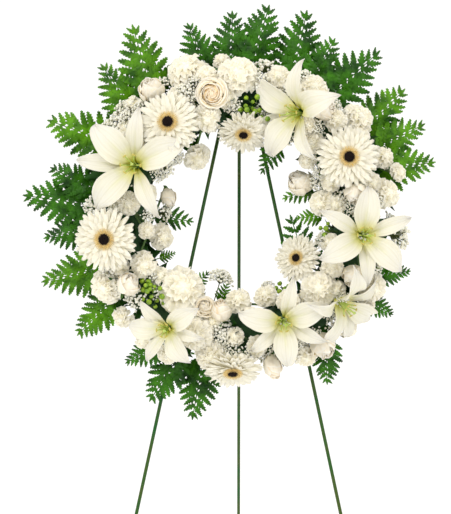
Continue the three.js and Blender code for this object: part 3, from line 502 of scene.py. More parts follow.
def pinna(pairs, leaf_share):
    """A pinna 1 long along X: a slim blade with leaflets on both sides that shorten towards its tip."""
    leaf = leaflet(6, LEAFLET_SLIM)
    spine = leaflet(6, SPINE_SLIM)
    parts = []
    for k in range(pairs):
        share = (k + 0.4) / (pairs + 0.5)
        for side in (-1, 1):
            length = leaf_share * (1 - share) ** 0.5 * (0.8 if k == 0 else 1) * fern_chance.uniform(0.9, 1.1)
            turn = side * math.radians(LEAFLET_SPLAY - SPLAY_LOSS * share + fern_chance.uniform(-4, 4))
            roll = fern_chance.uniform(-0.4, 0.4)
            parts.append(copied(leaf, Matrix.Translation((share + side * 0.01, 0, 0)) @
                                Matrix.Rotation(turn, 4, "Z") @ Matrix.Rotation(roll, 4, "X") @
                                Matrix.Scale(length, 4)))
    whole = joined([spine] + parts)
    away([leaf])
    return whole


def flat_frond(pairs, full, plain):
    """A whole frond, flat and 1 long along X: pairs of pinnae and a small one at its tip."""
    parts = []
    for k in range(pairs):
        share = (k + 0.25) / (pairs + 0.4)
        reach = PINNA_REACH * (1 - share) ** PINNA_FALL + PINNA_LEAST
        shape = full if k < pairs * 0.6 else plain
        for side in (-1, 1):
            turn = side * math.radians(PINNA_SPLAY - SPLAY_LOSS * share + fern_chance.uniform(-5, 5))
            size = reach * fern_chance.uniform(0.9, 1.06) * (0.9 if k == 0 else 1)
            level = fern_chance.uniform(-0.01, 0.01)
            roll = fern_chance.uniform(-0.5, 0.5)
            parts.append(copied(shape, Matrix.Translation((share + side * 0.012, 0, level)) @
                                Matrix.Rotation(turn, 4, "Z") @ Matrix.Rotation(roll, 4, "X") @
                                Matrix.Scale(size, 4)))
    parts.append(copied(plain, Matrix.Translation((0.88, 0, 0)) @ Matrix.Scale(0.13, 4)))
    return joined(parts)


def polar(clock, out, y):
    """A point of the wreath's frame by its clock angle, its distance from the hub and its depth."""
    angle = math.radians(clock)
    return Vector((out * math.cos(angle), y, out * math.sin(angle)))


def frond(shape, root, start, end, bulge, droop):
    """A flat frond laid from `start` to `end`, arched along its rib, and its stalk from `root`."""
    way = end - start
    length = way.length
    ahead = way.normalized()
    aside = ahead.cross(Vector((0, 1, 0))).normalized()
    made = copied(shape, Matrix.Identity(4))
    twist = fern_chance.uniform(-0.25, 0.25)
    for corner in made.data.vertices:
        u, v, w = corner.co
        back = w * length - bulge * math.sin(math.pi * u) + droop * v * v * length + twist * v * u * length
        corner.co = wreath @ (start + ahead * (u * length) + aside * (v * length) + Vector((0, back, 0)))
    shaped(made, "SOLIDIFY", thickness=LEAF_THICKNESS, offset=0)
    stalk = wire([wreath @ root, wreath @ (start + Vector((0, -bulge * 0.3, 0))),
                  wreath @ (start.lerp(end, 0.5) + Vector((0, -bulge, 0))), wreath @ start.lerp(end, 0.93)],
                 FROND_STALK_RADIUS, 0.008, 8)
    return [made, stalk]


# Both fern greens change in leaflet-sized patches from near-black to light green: partly the fronds' own
# uneven tone, partly painted highlight on the lobes and painted shade between the leaflets.
fern_deep = coat("deep leatherleaf green", [(0.004, 0.036, 0.001), (0.045, 0.2, 0.002)], 46, 0.0005, 0.45,
                 **{"Specular IOR Level": 0.2})
fern_bright = coat("bright leatherleaf green", [(0.012, 0.07, 0.001), (0.11, 0.32, 0.003)], 46, 0.0005, 0.45,
                   **{"Specular IOR Level": 0.2})
full_pinnae = [pinna(*FULL_PINNA) for _ in range(2)]
plain_pinna = pinna(*PLAIN_PINNA)
flat_fronds = [flat_frond(PINNA_PAIRS, full_pinnae[i % 2], plain_pinna) for i in range(3)]
inner_flat = flat_frond(INNER_PAIRS, full_pinnae[0], plain_pinna)
for number, (name, (stalk, fronds, inner)) in enumerate(FERNS.items()):
    fork = polar(stalk, FORK_RADIUS, -FOAM_CORE)
    foot = polar(stalk, BUNCH_FOOT, -FOAM_CORE)
    pieces = [wire([wreath @ foot, wreath @ fork], BUNCH_STALK_RADIUS, 0.001, 12)]
    for i, (tip, out) in enumerate(fronds):
        start = polar(stalk + (tip - stalk) * 0.7, FROND_BASE, FROND_LAYERS[i] - FROND_RISE)
        end = polar(tip, out / 1000, FROND_LAYERS[i] + FROND_RISE)
        pieces += frond(flat_fronds[(i + number) % 3], fork, start, end, FROND_BULGE, FROND_DROOP)
    if inner:
        foot = polar(stalk, INNER_FOOT, -FOAM_CORE)
        start = polar(stalk, INNER_BASE, -FOAM_CORE)
        end = polar(inner[0], inner[1] / 1000, -FOAM_CORE)
        pieces += frond(inner_flat, foot, start, end, INNER_BULGE, INNER_DROOP)
    settled(joined(pieces), name.replace("fern_", "leatherleaf_"), "stand",
            fern_bright if name in BRIGHT_FERNS else fern_deep, [name], 60)
pieces = []
for clock, x, z in SMALL_FRONDS:
    foot = polar(clock, INNER_FOOT, -FOAM_CORE)
    end = Vector((x / 1000, -FOAM_CORE, z / 1000))
    pieces += frond(inner_flat, foot, foot.lerp(end, 0.35), end, INNER_BULGE, INNER_DROOP)
settled(joined(pieces), "leatherleaf_between", "stand", fern_bright, (), 60)
away(full_pinnae + [plain_pinna] + flat_fronds + [inner_flat])

# Short broad leaves are pushed in all over the foam, to hide it between the blooms. Their green is
# darkened towards black as painted shade for the gaps; they are leathery, and folded along the rib.
LEAF_COUNT = 210
LEAF_FAN = 115
LEAF_DRIFT = 0.7
LEAF_SET_IN = 0.006
LEAF_SIZES = (0.034, 0.052)
BROAD_LEAF_THICKNESS = 0.012
BROAD_LEAF_WIDTH = [(0.02,), (0.16,), (0.24,), (0.2,), (0.1,), (0.0,)]
ANY_TURN = (0, 6.3)
leaf_chance = random.Random(23)


def along(rows, t):
    """Reads a table of rows as a smooth curve, at t from 0 to 1."""
    last = len(rows) - 1
    spot = min(max(t, 0), 1) * last
    i = min(int(spot), last - 1)
    s = spot - i
    a, b, c, d = (rows[min(max(i + k, 0), last)] for k in (-1, 0, 1, 2))
    return [b_ + 0.5 * s * (c_ - a_ + s * (2 * a_ - 5 * b_ + 4 * c_ - d_ + s * (3 * (b_ - c_) + d_ - a_)))
            for a_, b_, c_, d_ in zip(a, b, c, d)]


def sheet(columns, rows, thickness, shape):
    """A petal or leaf: a grid whose point at u across (-1 to 1) and v along (0 to 1) goes to shape(u, v)."""
    bpy.ops.object.select_all(action="DESELECT")
    bpy.ops.mesh.primitive_grid_add(x_subdivisions=columns, y_subdivisions=rows, size=2, calc_uvs=True)
    made = bpy.context.object
    for corner in made.data.vertices:
        corner.co = shape(corner.co.x, (corner.co.y + 1) / 2)
    shaped(made, "SOLIDIFY", thickness=thickness, offset=0)
    made.data.shade_smooth()
    return made


def broad_leaf(u, v):
    half = along(BROAD_LEAF_WIDTH, v)[0]
    return Vector((v, u * half, 0.5 * abs(u) * half + 0.12 * math.sin(3 * v) - 0.1 * v))


# The filler leaves' green is darkened towards black: painted shade for the gaps between the blooms.
leaf_green_painted_gap_shade = coat("filler leaf green with painted gap shade", [(0.004, 0.022, 0.003), (0.022, 0.1, 0.008)], 40, 0.0006, 0.6,
                  **{"Specular IOR Level": 0.15})
leaf = sheet(4, 7, BROAD_LEAF_THICKNESS, broad_leaf)
leaves = []
for i in range(LEAF_COUNT):
    clock = leaf_chance.uniform(0, 360)
    round_foam = math.radians(leaf_chance.uniform(-LEAF_FAN, LEAF_FAN))
    radial = polar(clock, 1, 0)
    outward = Vector((0, -math.cos(round_foam), 0)) + radial * math.sin(round_foam)
    foot = polar(clock, RING_RADIUS, -FOAM_CORE) + outward * (FOAM_HALF - LEAF_SET_IN)
    drift = Vector([leaf_chance.uniform(-LEAF_DRIFT, LEAF_DRIFT) for _ in range(3)])
    ahead = (outward + drift).normalized()
    turn = ahead.to_track_quat("X", "Z").to_matrix().to_4x4()
    size = leaf_chance.uniform(*LEAF_SIZES) * (0.7 if math.sin(round_foam) < -0.5 else 1)
    roll = Matrix.Rotation(leaf_chance.uniform(*ANY_TURN), 4, "X")
    leaves.append(copied(leaf, wreath @ Matrix.Translation(foot) @ turn @ roll @ Matrix.Scale(size, 4)))
away([leaf])
settled(joined(leaves), "filler_leaves", "stand", leaf_green_painted_gap_shade, (), 60)

# Carnations fill most of the ring: standard ones of about 60 mm and smaller spray ones. Each is a dome
# of fan-shaped petals with pinked, ruffled rims above a green calyx, on a thin stem.
CARNATION_REACH = 72
LEAST_FORWARD = 18
STEM_DEPTH = 17
STEM_RADIUS = 0.0019
FULL_CARNATION_RADIUS = 24
CARNATION_SEAT = -0.34
CARNATION_DROP = 0.9
CARNATION_HEART = (0.52, 0.46)
CARNATION_CALYX = (CARNATION_SEAT, 0.2, 0.62)
CALYX_FOOT = 0.45
CALYX_LIP = 0.06
CALYX_SWELL = 0.35
FORK_STEP = 5
USUAL_FORK_LIFT = 4
FORK_LIFTS = {"roses_left": 16, "carnations_left": 1, "carnations_outer_left": 0}
# The heads of each stem: across and up from the hub, and the radius, in millimetres.
CARNATIONS = {
    "carnations_top_left": [(-54, 236, 17), (-88, 247, 33), (-3, 238, 32), (-30, 264, 14)],
    "carnations_top_right": [(123, 215, 25), (66, 234, 20), (160, 163, 18), (200, 168, 26)],
    "carnations_inner_top_right": [(119, 124, 18), (112, 152, 15), (112, 95, 14), (135, 24, 20)],
    "carnations_right": [(243, 104, 18), (268, 78, 15), (247, 42, 22)],
    "carnations_inner_top_left": [(-53, 163, 22), (-68, 98, 22)],
    "carnations_left": [(-181, 24, 18), (-126, -30, 20), (-152, -20, 13)],
    "carnations_outer_left": [(-222, -116, 27), (-156, -76, 20), (-196, -168, 17)],
    "carnations_bottom_left": [(-71, -192, 26), (-93, -118, 38), (-46, -230, 25), (-118, -228, 18)],
    "carnations_inner_low": [(82, -136, 19), (44, -126, 18), (-2, -134, 20), (111, -232, 18)],
    "carnations_low_right": [(222, -116, 25), (214, -146, 17), (131, -116, 28), (153, -78, 18)],
}
# Small blooms that only fill gaps between the others, set deeper.
DEEP_REACH = 62
DEEP_CARNATIONS = [
    (-186, 151, 17), (-7, -194, 15), (160, 22, 16), (-20, 198, 16), (-146, 120, 17), (30, -214, 17),
    (-200, 20, 16), (-160, -205, 17), (200, 140, 18), (215, 8, 17), (160, -120, 17), (150, 60, 17),
    (-100, 205, 17), (-95, -170, 18), (-130, -95, 16), (-198, -80, 16), (110, 190, 16), (-150, 40, 16),
    (60, 200, 15), (100, -190, 16), (20, -160, 15), (220, 60, 17), (150, -40, 16), (-45, -170, 16),
    (-180, 190, 16), (185, -185, 16)]
# Tiers of a full, a spray and a deep head: petals, rise in degrees, length and breadth as shares of the
# radius.
FULL_TIERS = [(9, 4, 1.12, 1.0), (8, 22, 1.06, 0.95), (7, 40, 0.98, 0.85), (6, 58, 0.92, 0.75),
              (4, 76, 0.88, 0.62)]
SPRAY_TIERS = [(7, 4, 1.16, 1.05), (6, 26, 1.08, 0.95), (5, 48, 0.98, 0.85), (4, 72, 0.9, 0.66)]
DEEP_TIERS = [(6, 8, 1.14, 1.15), (5, 34, 1.05, 1.05), (4, 64, 0.92, 0.85)]
petal_chance = random.Random(5)


def stand_at(x, z, reach):
    """Where a head stands: [x, z] from the hub, `reach` from the foam's core, all in millimetres."""
    across = math.hypot(x, z) - RING_RADIUS * 1000
    forward = math.sqrt(max(reach ** 2 - across ** 2, LEAST_FORWARD ** 2))
    return Vector((x, -FOAM_CORE * 1000 - forward, z)) / 1000


def core_near(place):
    """The nearest point of the circle that runs through the foam's middle."""
    flat = Vector((place.x, 0, place.z)).normalized() * RING_RADIUS
    return Vector((flat.x, -FOAM_CORE, flat.z))


def out_of_foam(place):
    """Half way between straight out of the foam and straight ahead."""
    return ((place - core_near(place)).normalized() + Vector((0, -1, 0))).normalized()


def facing(toward, tilt):
    """`tilt` degrees off straight ahead, towards the clock angle `toward`."""
    a, t = math.radians(toward), math.radians(tilt)
    return Vector((math.cos(a) * math.sin(t), -math.cos(t), math.sin(a) * math.sin(t)))


def planted(place, look, size, spin=0.0, tall=1.0):
    """The matrix that sets a head, modelled about +Z at radius 1, to face `look`, its top side up."""
    upward = (Vector((0, 0, 1)) - look * look.z).normalized()
    right = upward.cross(look)
    basis = Matrix((right, upward, look)).transposed().to_4x4()
    return (wreath @ Matrix.Translation(place) @ basis @ Matrix.Rotation(spin, 4, "Z") @
            Matrix.Diagonal((size, size, size * tall, 1)))


def stem_end(base, depth):
    """Where a stem from `base` ends, `depth` inside the foam's surface."""
    core = core_near(base)
    return core + (base - core).normalized() * (FOAM_HALF - depth / 1000)


def stems_of(name, feet):
    """The first head's stem runs into the foam, and the others branch off it."""
    lift = FORK_LIFTS.get(name, USUAL_FORK_LIFT)
    forks = [stem_end(feet[0], -lift - FORK_STEP * i) for i in range(len(feet) - 1)]
    ends = [stem_end(feet[0], STEM_DEPTH)] + forks
    runs = [wire([wreath @ foot, wreath @ foot.lerp(end, 0.5), wreath @ end], STEM_RADIUS, 0.004, 12)
            for foot, end in zip(feet, ends)]
    for run in runs:
        run.data.materials.append(stem_green)
    return runs


def petal_skin(name, stops, veins, roughness, vein_tint, rib=None, **sockets):
    """A petal's finish along its own UV map: `stops` run from heart to rim, with fine veins along them.

    `rib` is the colour of a stripe along the middle that fades out towards the rim."""
    made, nodes, link, shader = fresh_finish(name, roughness, sockets)
    place = nodes.new("ShaderNodeTexCoord").outputs["UV"]
    split = nodes.new("ShaderNodeSeparateXYZ")
    link(place, split.inputs["Vector"])
    stretch = nodes.new("ShaderNodeMapping")
    stretch.inputs["Scale"].default_value = (veins, VEIN_LENGTH, 1)
    link(place, stretch.inputs["Vector"])
    vein = grain(nodes, link, stretch.outputs["Vector"], 1, 2)
    mix = nodes.new("ShaderNodeMix")
    mix.data_type, mix.blend_type = "RGBA", "MULTIPLY"
    mix.inputs["Factor"].default_value = 1
    link(ramped(nodes, link, split.outputs["Y"], stops), mix.inputs["A"])
    link(ramped(nodes, link, vein, [(0.32, vein_tint), (0.6, (1, 1, 1))]), mix.inputs["B"])
    coloured = mix.outputs["Result"]
    if rib:
        fade, strength, striped = (nodes.new("ShaderNode" + kind) for kind in ("MapRange", "Math", "Mix"))
        link(split.outputs["Y"], fade.inputs["Value"])
        for socket, value in RIB_FADE.items():
            fade.inputs[socket].default_value = value
        strength.operation = "MULTIPLY"
        link(ramped(nodes, link, split.outputs["X"], RIB_STRIPE), strength.inputs[0])
        link(fade.outputs["Result"], strength.inputs[1])
        striped.data_type = "RGBA"
        striped.inputs["B"].default_value = (*rib, 1)
        link(strength.outputs["Value"], striped.inputs["Factor"])
        link(coloured, striped.inputs["A"])
        coloured = striped.outputs["Result"]
    link(coloured, shader.inputs["Base Color"])
    raised(nodes, link, shader, vein, VEIN_HEIGHT)
    return made


VEIN_LENGTH = 1.6
VEIN_HEIGHT = 0.001
RIB_STRIPE = [(0.4, (0, 0, 0)), (0.5, (1, 1, 1)), (0.6, (0, 0, 0))]
RIB_FADE = {"From Min": 0.15, "From Max": 0.6, "To Min": 0.8, "To Max": 0}
SOFT_PETAL = {"Subsurface Weight": 0.35, "Subsurface Scale": 0.004, "Subsurface Radius": (1, 0.9, 0.7),
              "Specular IOR Level": 0.3}
DENSE_PETAL = {"Subsurface Weight": 0.3, "Subsurface Scale": 0.004, "Subsurface Radius": (1, 0.9, 0.7),
               "Specular IOR Level": 0.25}
RUFFLE = 0.12
PINKING = 0.035
CARNATION_THICKNESS = 0.016
carnation_white = petal_skin(
    "carnation petal",
    [(0.0, (0.86, 0.82, 0.4)), (0.35, (0.96, 0.88, 0.57)), (0.7, (0.98, 0.92, 0.72)),
     (1.0, (0.98, 0.935, 0.8))],
    14, 0.6, (0.95, 0.94, 0.87), **DENSE_PETAL)
stem_green = coat("flower stem green", [(0.03, 0.09, 0.014), (0.09, 0.18, 0.034)], 70, 0.0003, 0.5)


def carnation_petal(phase, waves, columns=8, rows=5):
    """A fan that widens to its rim, where it is ruffled and pinked, and rolls back."""
    def shape(u, v):
        half = 0.06 + 0.42 * v ** 1.2
        wave = math.sin(waves * u + phase) + 0.4 * math.sin(2.3 * waves * u + 2 * phase)
        pinked = 1 + (PINKING * math.sin(31 * u + phase) if v > 0.95 else 0)
        reach = v * (1 - 0.14 * u * u) * pinked
        rolled = 0.16 * math.sin(2.2 * v) - 0.3 * v ** 4
        return Vector((reach, u * half, RUFFLE * v ** 3 * wave + rolled))
    made = sheet(columns, rows, CARNATION_THICKNESS, shape)
    made.data.materials.append(carnation_white)
    return made


def carnation_head(petals, tiers):
    """A head of radius 1 about +Z: tiers of petals rising from its seat, and the calyx below."""
    parts = []
    for count, rise, length, breadth in tiers:
        first = petal_chance.uniform(*ANY_TURN)
        for i in range(count):
            turn = first + (i + petal_chance.uniform(-0.28, 0.28)) * 2 * math.pi / count
            lift = math.radians(rise + petal_chance.uniform(-8, 8))
            size = length * petal_chance.uniform(0.86, 1.04)
            parts.append(copied(petal_chance.choice(petals), Matrix.Translation((0, 0, CARNATION_SEAT)) @
                                Matrix.Rotation(turn, 4, "Z") @ Matrix.Rotation(-lift, 4, "Y") @
                                Matrix.Rotation(petal_chance.uniform(-0.35, 0.35), 4, "X") @
                                Matrix.Diagonal((size, size * breadth, size, 1))))
    parts.append(heart(*CARNATION_HEART, carnation_white))
    parts.append(calyx(*CARNATION_CALYX))
    return joined(parts)


def heart(radius, top, finish):
    """The tight mass of petals in the middle of a head of radius 1, up to `top`."""
    bpy.ops.object.select_all(action="DESELECT")
    bpy.ops.mesh.primitive_uv_sphere_add(segments=16, ring_count=8, radius=radius, calc_uvs=True)
    mass = bpy.context.object
    for corner in mass.data.vertices:
        turn = math.atan2(corner.co.y, corner.co.x)
        corner.co *= 1 + 0.1 * math.sin(5 * turn + 9 * corner.co.z)
        corner.co.z += top - radius
    mass.data.materials.append(finish)
    mass.data.shade_smooth()
    return mass


def calyx(top, radius, depth):
    """A ribbed green cup that holds a head of radius 1, from its top down."""
    bpy.ops.object.select_all(action="DESELECT")
    bpy.ops.mesh.primitive_cone_add(vertices=15, radius1=radius * CALYX_FOOT, radius2=radius, depth=depth,
                                    location=(0, 0, top - depth / 2 + CALYX_LIP))
    cup = bpy.context.object
    bpy.ops.object.transform_apply()
    bpy.ops.object.mode_set(mode="EDIT")
    bpy.ops.mesh.select_all(action="SELECT")
    bpy.ops.mesh.subdivide(number_cuts=2)
    bpy.ops.object.mode_set(mode="OBJECT")
    for corner in cup.data.vertices:
        share = (top + CALYX_LIP - corner.co.z) / depth
        corner.co.xy *= 1 + CALYX_SWELL * math.sin(math.pi * min(max(share, 0), 1))
    cup.data.materials.append(stem_green)
    cup.data.shade_smooth()
    return cup


carnation_petals = [carnation_petal(0.4 + 1.3 * i, 5.0 + 1.2 * (i % 3)) for i in range(5)]
full_heads = [carnation_head(carnation_petals, FULL_TIERS) for _ in range(3)]
spray_heads = [carnation_head(carnation_petals, SPRAY_TIERS) for _ in range(3)]
plain_petals = [carnation_petal(0.9 + 1.7 * i, 5.6, 6, 3) for i in range(2)]
deep_heads = [carnation_head(plain_petals, DEEP_TIERS) for _ in range(2)]


def carnation_at(x, z, radius, reach, shape):
    """A head set over the foam at [x, z], and the foot where its stem starts."""
    place = stand_at(x, z, reach)
    look = out_of_foam(place)
    head = copied(shape, planted(place, look, radius / 1000, petal_chance.uniform(*ANY_TURN)))
    return head, place - look * (CARNATION_DROP * radius / 1000)


for name, heads in CARNATIONS.items():
    pieces, feet = [], []
    for i, (x, z, radius) in enumerate(heads):
        shapes = full_heads if radius >= FULL_CARNATION_RADIUS else spray_heads
        head, foot = carnation_at(x, z, radius, CARNATION_REACH, shapes[(i + x) % 3])
        pieces.append(head)
        feet.append(foot)
    whole = joined(pieces + stems_of(name, feet))
    settled(whole, "ruffled_" + name, "stand", None, [name], 60)
pieces = []
for i, (x, z, radius) in enumerate(DEEP_CARNATIONS):
    head, foot = carnation_at(x, z, radius, DEEP_REACH, deep_heads[i % 2])
    pieces += [head] + stems_of("", [foot])
settled(joined(pieces), "ruffled_carnations_between", "stand", None, (), 60)
away(carnation_petals + full_heads + spray_heads + plain_petals + deep_heads)

# Oriental lilies, the largest blooms: three broad petals over three slim sepals, all arched back at the
# tip from a yellow-green throat. The anthers are nipped small, and a green pistil stands among them.
LILY_NECK = 0.32
LILY_BASE = 0.56
FUNNEL_RADIUS = 0.005
ANTHER_RADIUS = 0.0014
ANTHER_SHAPE = (1, 2.6, 0.8)
FILAMENT_RADIUS = 0.001
PISTIL_RADIUS = 0.0014
PISTIL_TIP = 0.0017
PISTIL_SPREAD = 0.0014
# Each lily: across and up from the hub, its radius, the clock angle it leans to and by how many
# degrees, how far it stands from the foam's core, and the clock angles of its petals and sepals in
# turn.
LILIES = {
    "lily_left": (-175, 87, 95, 170, 8, 88, [22, 82, 135, 178, 227, 295]),
    "lily_top": (86, 171, 86, 190, 34, 88, [142, 200, 235, 290, 20, 78]),
    "lily_low_left": (-121, -182, 66, 200, 16, 92, [180, 238, 300, 350, 35, 130]),
    "lily_right": (206, -28, 84, 0, 6, 88, [208, 150, 90, 22, 321, 274]),
    "lily_low": (73, -171, 76, 270, 8, 90, [171, 226, 276, 333, 26, 75]),
    "lily_low_right": (176, -146, 74, 318, 48, 84, [347, 40, 100, 180, 255, 300]),
}
TEPAL_LINE = [(0.03, -0.42), (0.1, -0.24), (0.22, -0.1), (0.4, 0.03), (0.58, 0.09), (0.76, 0.08),
              (0.92, -0.01), (1.02, -0.17)]
TEPAL_WIDTH = [(0.12,), (0.26,), (0.6,), (0.95,), (1.0,), (0.74,), (0.32,), (0.0,)]
# The width of a petal and a sepal, how far each sits below the petals, and its ruffle, as shares of the
# radius.
PETAL = (0.52, 0, 0.07)
SEPAL = (0.31, 0.05, 0.035)
TEPAL_CUP = 0.3
TEPAL_TWIST = 0.3
TEPAL_BEND = 0.09
TEPAL_RIB_DEPTH = 0.026
TEPAL_RIB_WIDTH = 0.18
TEPAL_THICKNESS = 0.0009
lily_chance = random.Random(3)
lily_white = petal_skin(
    "lily petal", [(0.0, (0.34, 0.42, 0.03)), (0.13, (0.62, 0.62, 0.06)), (0.25, (0.78, 0.74, 0.36)),
                   (0.38, (0.775, 0.745, 0.605)), (1.0, (0.785, 0.76, 0.7))], 16, 0.5, (0.92, 0.91, 0.86),
    (0.74, 0.74, 0.36), **SOFT_PETAL)


def tepal(radius, width, turn, reach, drop, wave, phase):
    """One petal or sepal of a lily, in metres about the bloom's axis, a little twisted and bent aside."""
    twist = lily_chance.uniform(-TEPAL_TWIST, TEPAL_TWIST)
    aside = lily_chance.uniform(-TEPAL_BEND, TEPAL_BEND)

    def shape(u, v):
        out, up = along(TEPAL_LINE, v)
        ahead = along(TEPAL_LINE, min(v + 0.02, 1))
        behind = along(TEPAL_LINE, max(v - 0.02, 0))
        slope = Vector((ahead[0] - behind[0], ahead[1] - behind[1])).normalized()
        half = width * along(TEPAL_WIDTH, v)[0] / 2
        ruffle = wave * abs(u) ** 3 * math.sin(math.pi * v) * math.sin(13 * v + phase + (1.6 if u > 0 else 0))
        lift = half * (TEPAL_CUP * u * u + twist * u * v)
        lift += radius * (ruffle - TEPAL_RIB_DEPTH * math.exp(-(u / TEPAL_RIB_WIDTH) ** 2) * (1 - 0.6 * v))
        return Vector((radius * out * reach - slope.y * lift, u * half + radius * aside * v * v,
                       radius * (up - drop) + slope.x * lift))
    made = sheet(10, 18, TEPAL_THICKNESS, shape)
    made.data.transform(Matrix.Rotation(math.radians(turn), 4, "Z"))
    made.data.materials.append(lily_white)
    return made


def lily_throat(radius):
    """Six short filaments with small anthers round the pistil."""
    parts = []
    for k in range(6):
        turn = Matrix.Rotation(math.radians(60 * k + lily_chance.uniform(-12, 12)), 4, "Z")
        tip = turn @ Vector((radius * 0.17, 0, radius * lily_chance.uniform(0.1, 0.18)))
        foot, elbow = turn @ Vector((radius * 0.03, 0, -radius * 0.3)), turn @ Vector((radius * 0.07, 0, 0))
        parts.append(wire([foot, elbow, tip], FILAMENT_RADIUS, 0.006, 8))
        parts[-1].data.materials.append(throat_green)
        bpy.ops.mesh.primitive_uv_sphere_add(segments=10, ring_count=6, radius=ANTHER_RADIUS, location=tip)
        anther = bpy.context.object
        anther.scale = ANTHER_SHAPE
        anther.rotation_euler = (0, 0, math.atan2(tip.y, tip.x))
        bpy.ops.object.transform_apply()
        anther.data.materials.append(anther_ochre)
        parts.append(anther)
    top = Vector((0.004, 0, radius * 0.24))
    style = [Vector((0, 0, -radius * 0.35)), Vector((0, 0, radius * 0.1)), top]
    parts.append(wire(style, PISTIL_RADIUS, 0.01, 12))
    for k in range(3):
        lobe = top + Vector((math.cos(2.1 * k), math.sin(2.1 * k), 0)) * PISTIL_SPREAD
        bpy.ops.mesh.primitive_uv_sphere_add(segments=10, ring_count=6, radius=PISTIL_TIP, location=lobe)
        parts.append(bpy.context.object)
        bpy.ops.object.transform_apply()
    for part in parts[-4:]:
        part.data.materials.append(throat_green)
    return parts


throat_green = coat("lily throat green", [(0.34, 0.46, 0.06), (0.5, 0.6, 0.16)], 200, 0.0002, 0.4)
anther_ochre = coat("nipped anther", [(0.42, 0.36, 0.06), (0.6, 0.5, 0.14)], 400, 0.0003, 0.8)
for name, (x, z, size, toward, tilt, reach, turns) in LILIES.items():
    radius = size / 1000
    place, look = stand_at(x, z, reach), facing(toward, tilt)
    parts = []
    for i, turn in enumerate(turns):
        width, drop, ruffle = SEPAL if i % 2 else PETAL
        parts.append(tepal(radius, radius * width, turn, lily_chance.uniform(0.96, 1.03), drop, ruffle,
                           lily_chance.uniform(*ANY_TURN)))
    bloom = joined(parts + lily_throat(radius))
    bloom.data.transform(planted(place, look, 1))
    bpy.context.view_layer.objects.active = bloom
    neck = place - look * (LILY_NECK * radius)
    base = place - look * (LILY_BASE * radius)
    funnel = bar(wreath @ base, wreath @ neck, FUNNEL_RADIUS, 16, 0.002)
    funnel.data.materials.append(stem_green)
    settled(joined([bloom, funnel] + stems_of(name, [base])), name.replace("lily", "oriental_lily"), "stand",
            None, [name], 60)

# Gerberas: flat daisies with rows of long cream rays, each ray channelled and notched at its tip, over
# a green cup.
GERBERA_DROP = 0.27
GERBERA_CUP = (-0.02, 0.15, 0.28)
# Each gerbera: across and up from the hub, its radius, the clock angle it leans to and by how many
# degrees, and how far it stands from the foam's core.
GERBERAS = {
    "gerbera_top_left": (-116, 156, 54, 120, 12, 90),
    "gerbera_right": (178, 100, 54, 20, 12, 90),
    "gerbera_inner_top": (7, 140, 44, 268, 42, 80),
    "gerbera_left": (-219, -35, 55, 185, 14, 92),
    "gerbera_bottom": (-10, -252, 50, 272, 52, 84),
    "gerbera_inner_right": (96, -66, 41, 160, 28, 92),
}
# Rows of rays from the outside in: rays, rise in degrees and reach as a share of the bloom's radius.
RAY_ROWS = [(28, -4, 1.02), (26, 2, 0.96), (22, 8, 0.8), (17, 15, 0.58)]
RAY_WIDTH = [(0.4,), (0.7,), (0.92,), (1.0,), (0.86,), (0.42,)]
RAY_HALF = 0.096
RAY_THICKNESS = 0.008
RAY_BENDS = ((0.02, 0.0), (-0.04, 0.4), (0.05, -0.4), (-0.02, -0.7))
ray_chance = random.Random(9)
gerbera_cream = petal_skin(
    "gerbera ray",
    [(0.0, (0.9, 0.8, 0.42)), (0.25, (0.95, 0.88, 0.62)), (0.55, (0.96, 0.91, 0.73)),
     (1.0, (0.97, 0.93, 0.8))],
    9, 0.55, (0.93, 0.92, 0.85), **DENSE_PETAL)


def gerbera_ray(bend, twist):
    """A ray with three channels and a notched tip, bent and twisted along its length."""
    def shape(u, v):
        half = RAY_HALF * along(RAY_WIDTH, v)[0]
        notch = 0.05 * (1 + math.cos(3 * math.pi * u)) * (v > 0.9)
        channel = -0.016 * (1 - u * u) + 0.005 * math.cos(4 * math.pi * u)
        rise = channel * math.sin(math.pi * min(v + 0.2, 1)) + bend * v * v + twist * u * v * half
        return Vector((0.1 + 0.9 * v - notch * 0.4 - 0.03 * u * u * v, u * half, rise))
    made = sheet(6, 5, RAY_THICKNESS, shape)
    made.data.materials.append(gerbera_cream)
    return made


def gerbera_head(rays):
    """A flower of radius 1 about +Z: rows of rays, and the green cup below."""
    parts = []
    for count, rise, reach in RAY_ROWS:
        first = ray_chance.uniform(*ANY_TURN)
        for i in range(count):
            turn = first + (i + ray_chance.uniform(-0.2, 0.2)) * 2 * math.pi / count
            lift = math.radians(rise + ray_chance.uniform(-3.5, 3.5))
            size = reach * ray_chance.uniform(0.93, 1.02)
            parts.append(copied(ray_chance.choice(rays), Matrix.Rotation(turn, 4, "Z") @
                                Matrix.Rotation(-lift, 4, "Y") @
                                Matrix.Diagonal((size, 0.35 + 0.65 * size, size, 1))))
    parts.append(calyx(*GERBERA_CUP))
    return joined(parts)


rays = [gerbera_ray(bend, twist) for bend, twist in RAY_BENDS]
gerbera_heads = [gerbera_head(rays) for _ in range(2)]
for number, (name, (x, z, radius, toward, tilt, reach)) in enumerate(GERBERAS.items()):
    place, look = stand_at(x, z, reach), facing(toward, tilt)
    head = copied(gerbera_heads[number % 2], planted(place, look, radius / 1000, number))
    stem = stems_of(name, [place - look * (GERBERA_DROP * radius / 1000)])
    settled(joined([head] + stem), name.replace("gerbera", "cream_gerbera"), "stand", None,
            [name], 60)
away(rays + gerbera_heads)

# A gerbera's eye: a low cushion of near-black disc florets set in spirals, inside a collar of golden
# ones.
EYE_FLORETS = 90
EYE_RIM = 0.155
EYE_LIFT = 0.08
EYE_CUSHION = (1.2, 1.2, 0.2)
BLACK_FLORET = (0.016, 0.06)
GOLD_FLORET = (0.018, 0.115)
COLLAR_FLORETS = 34
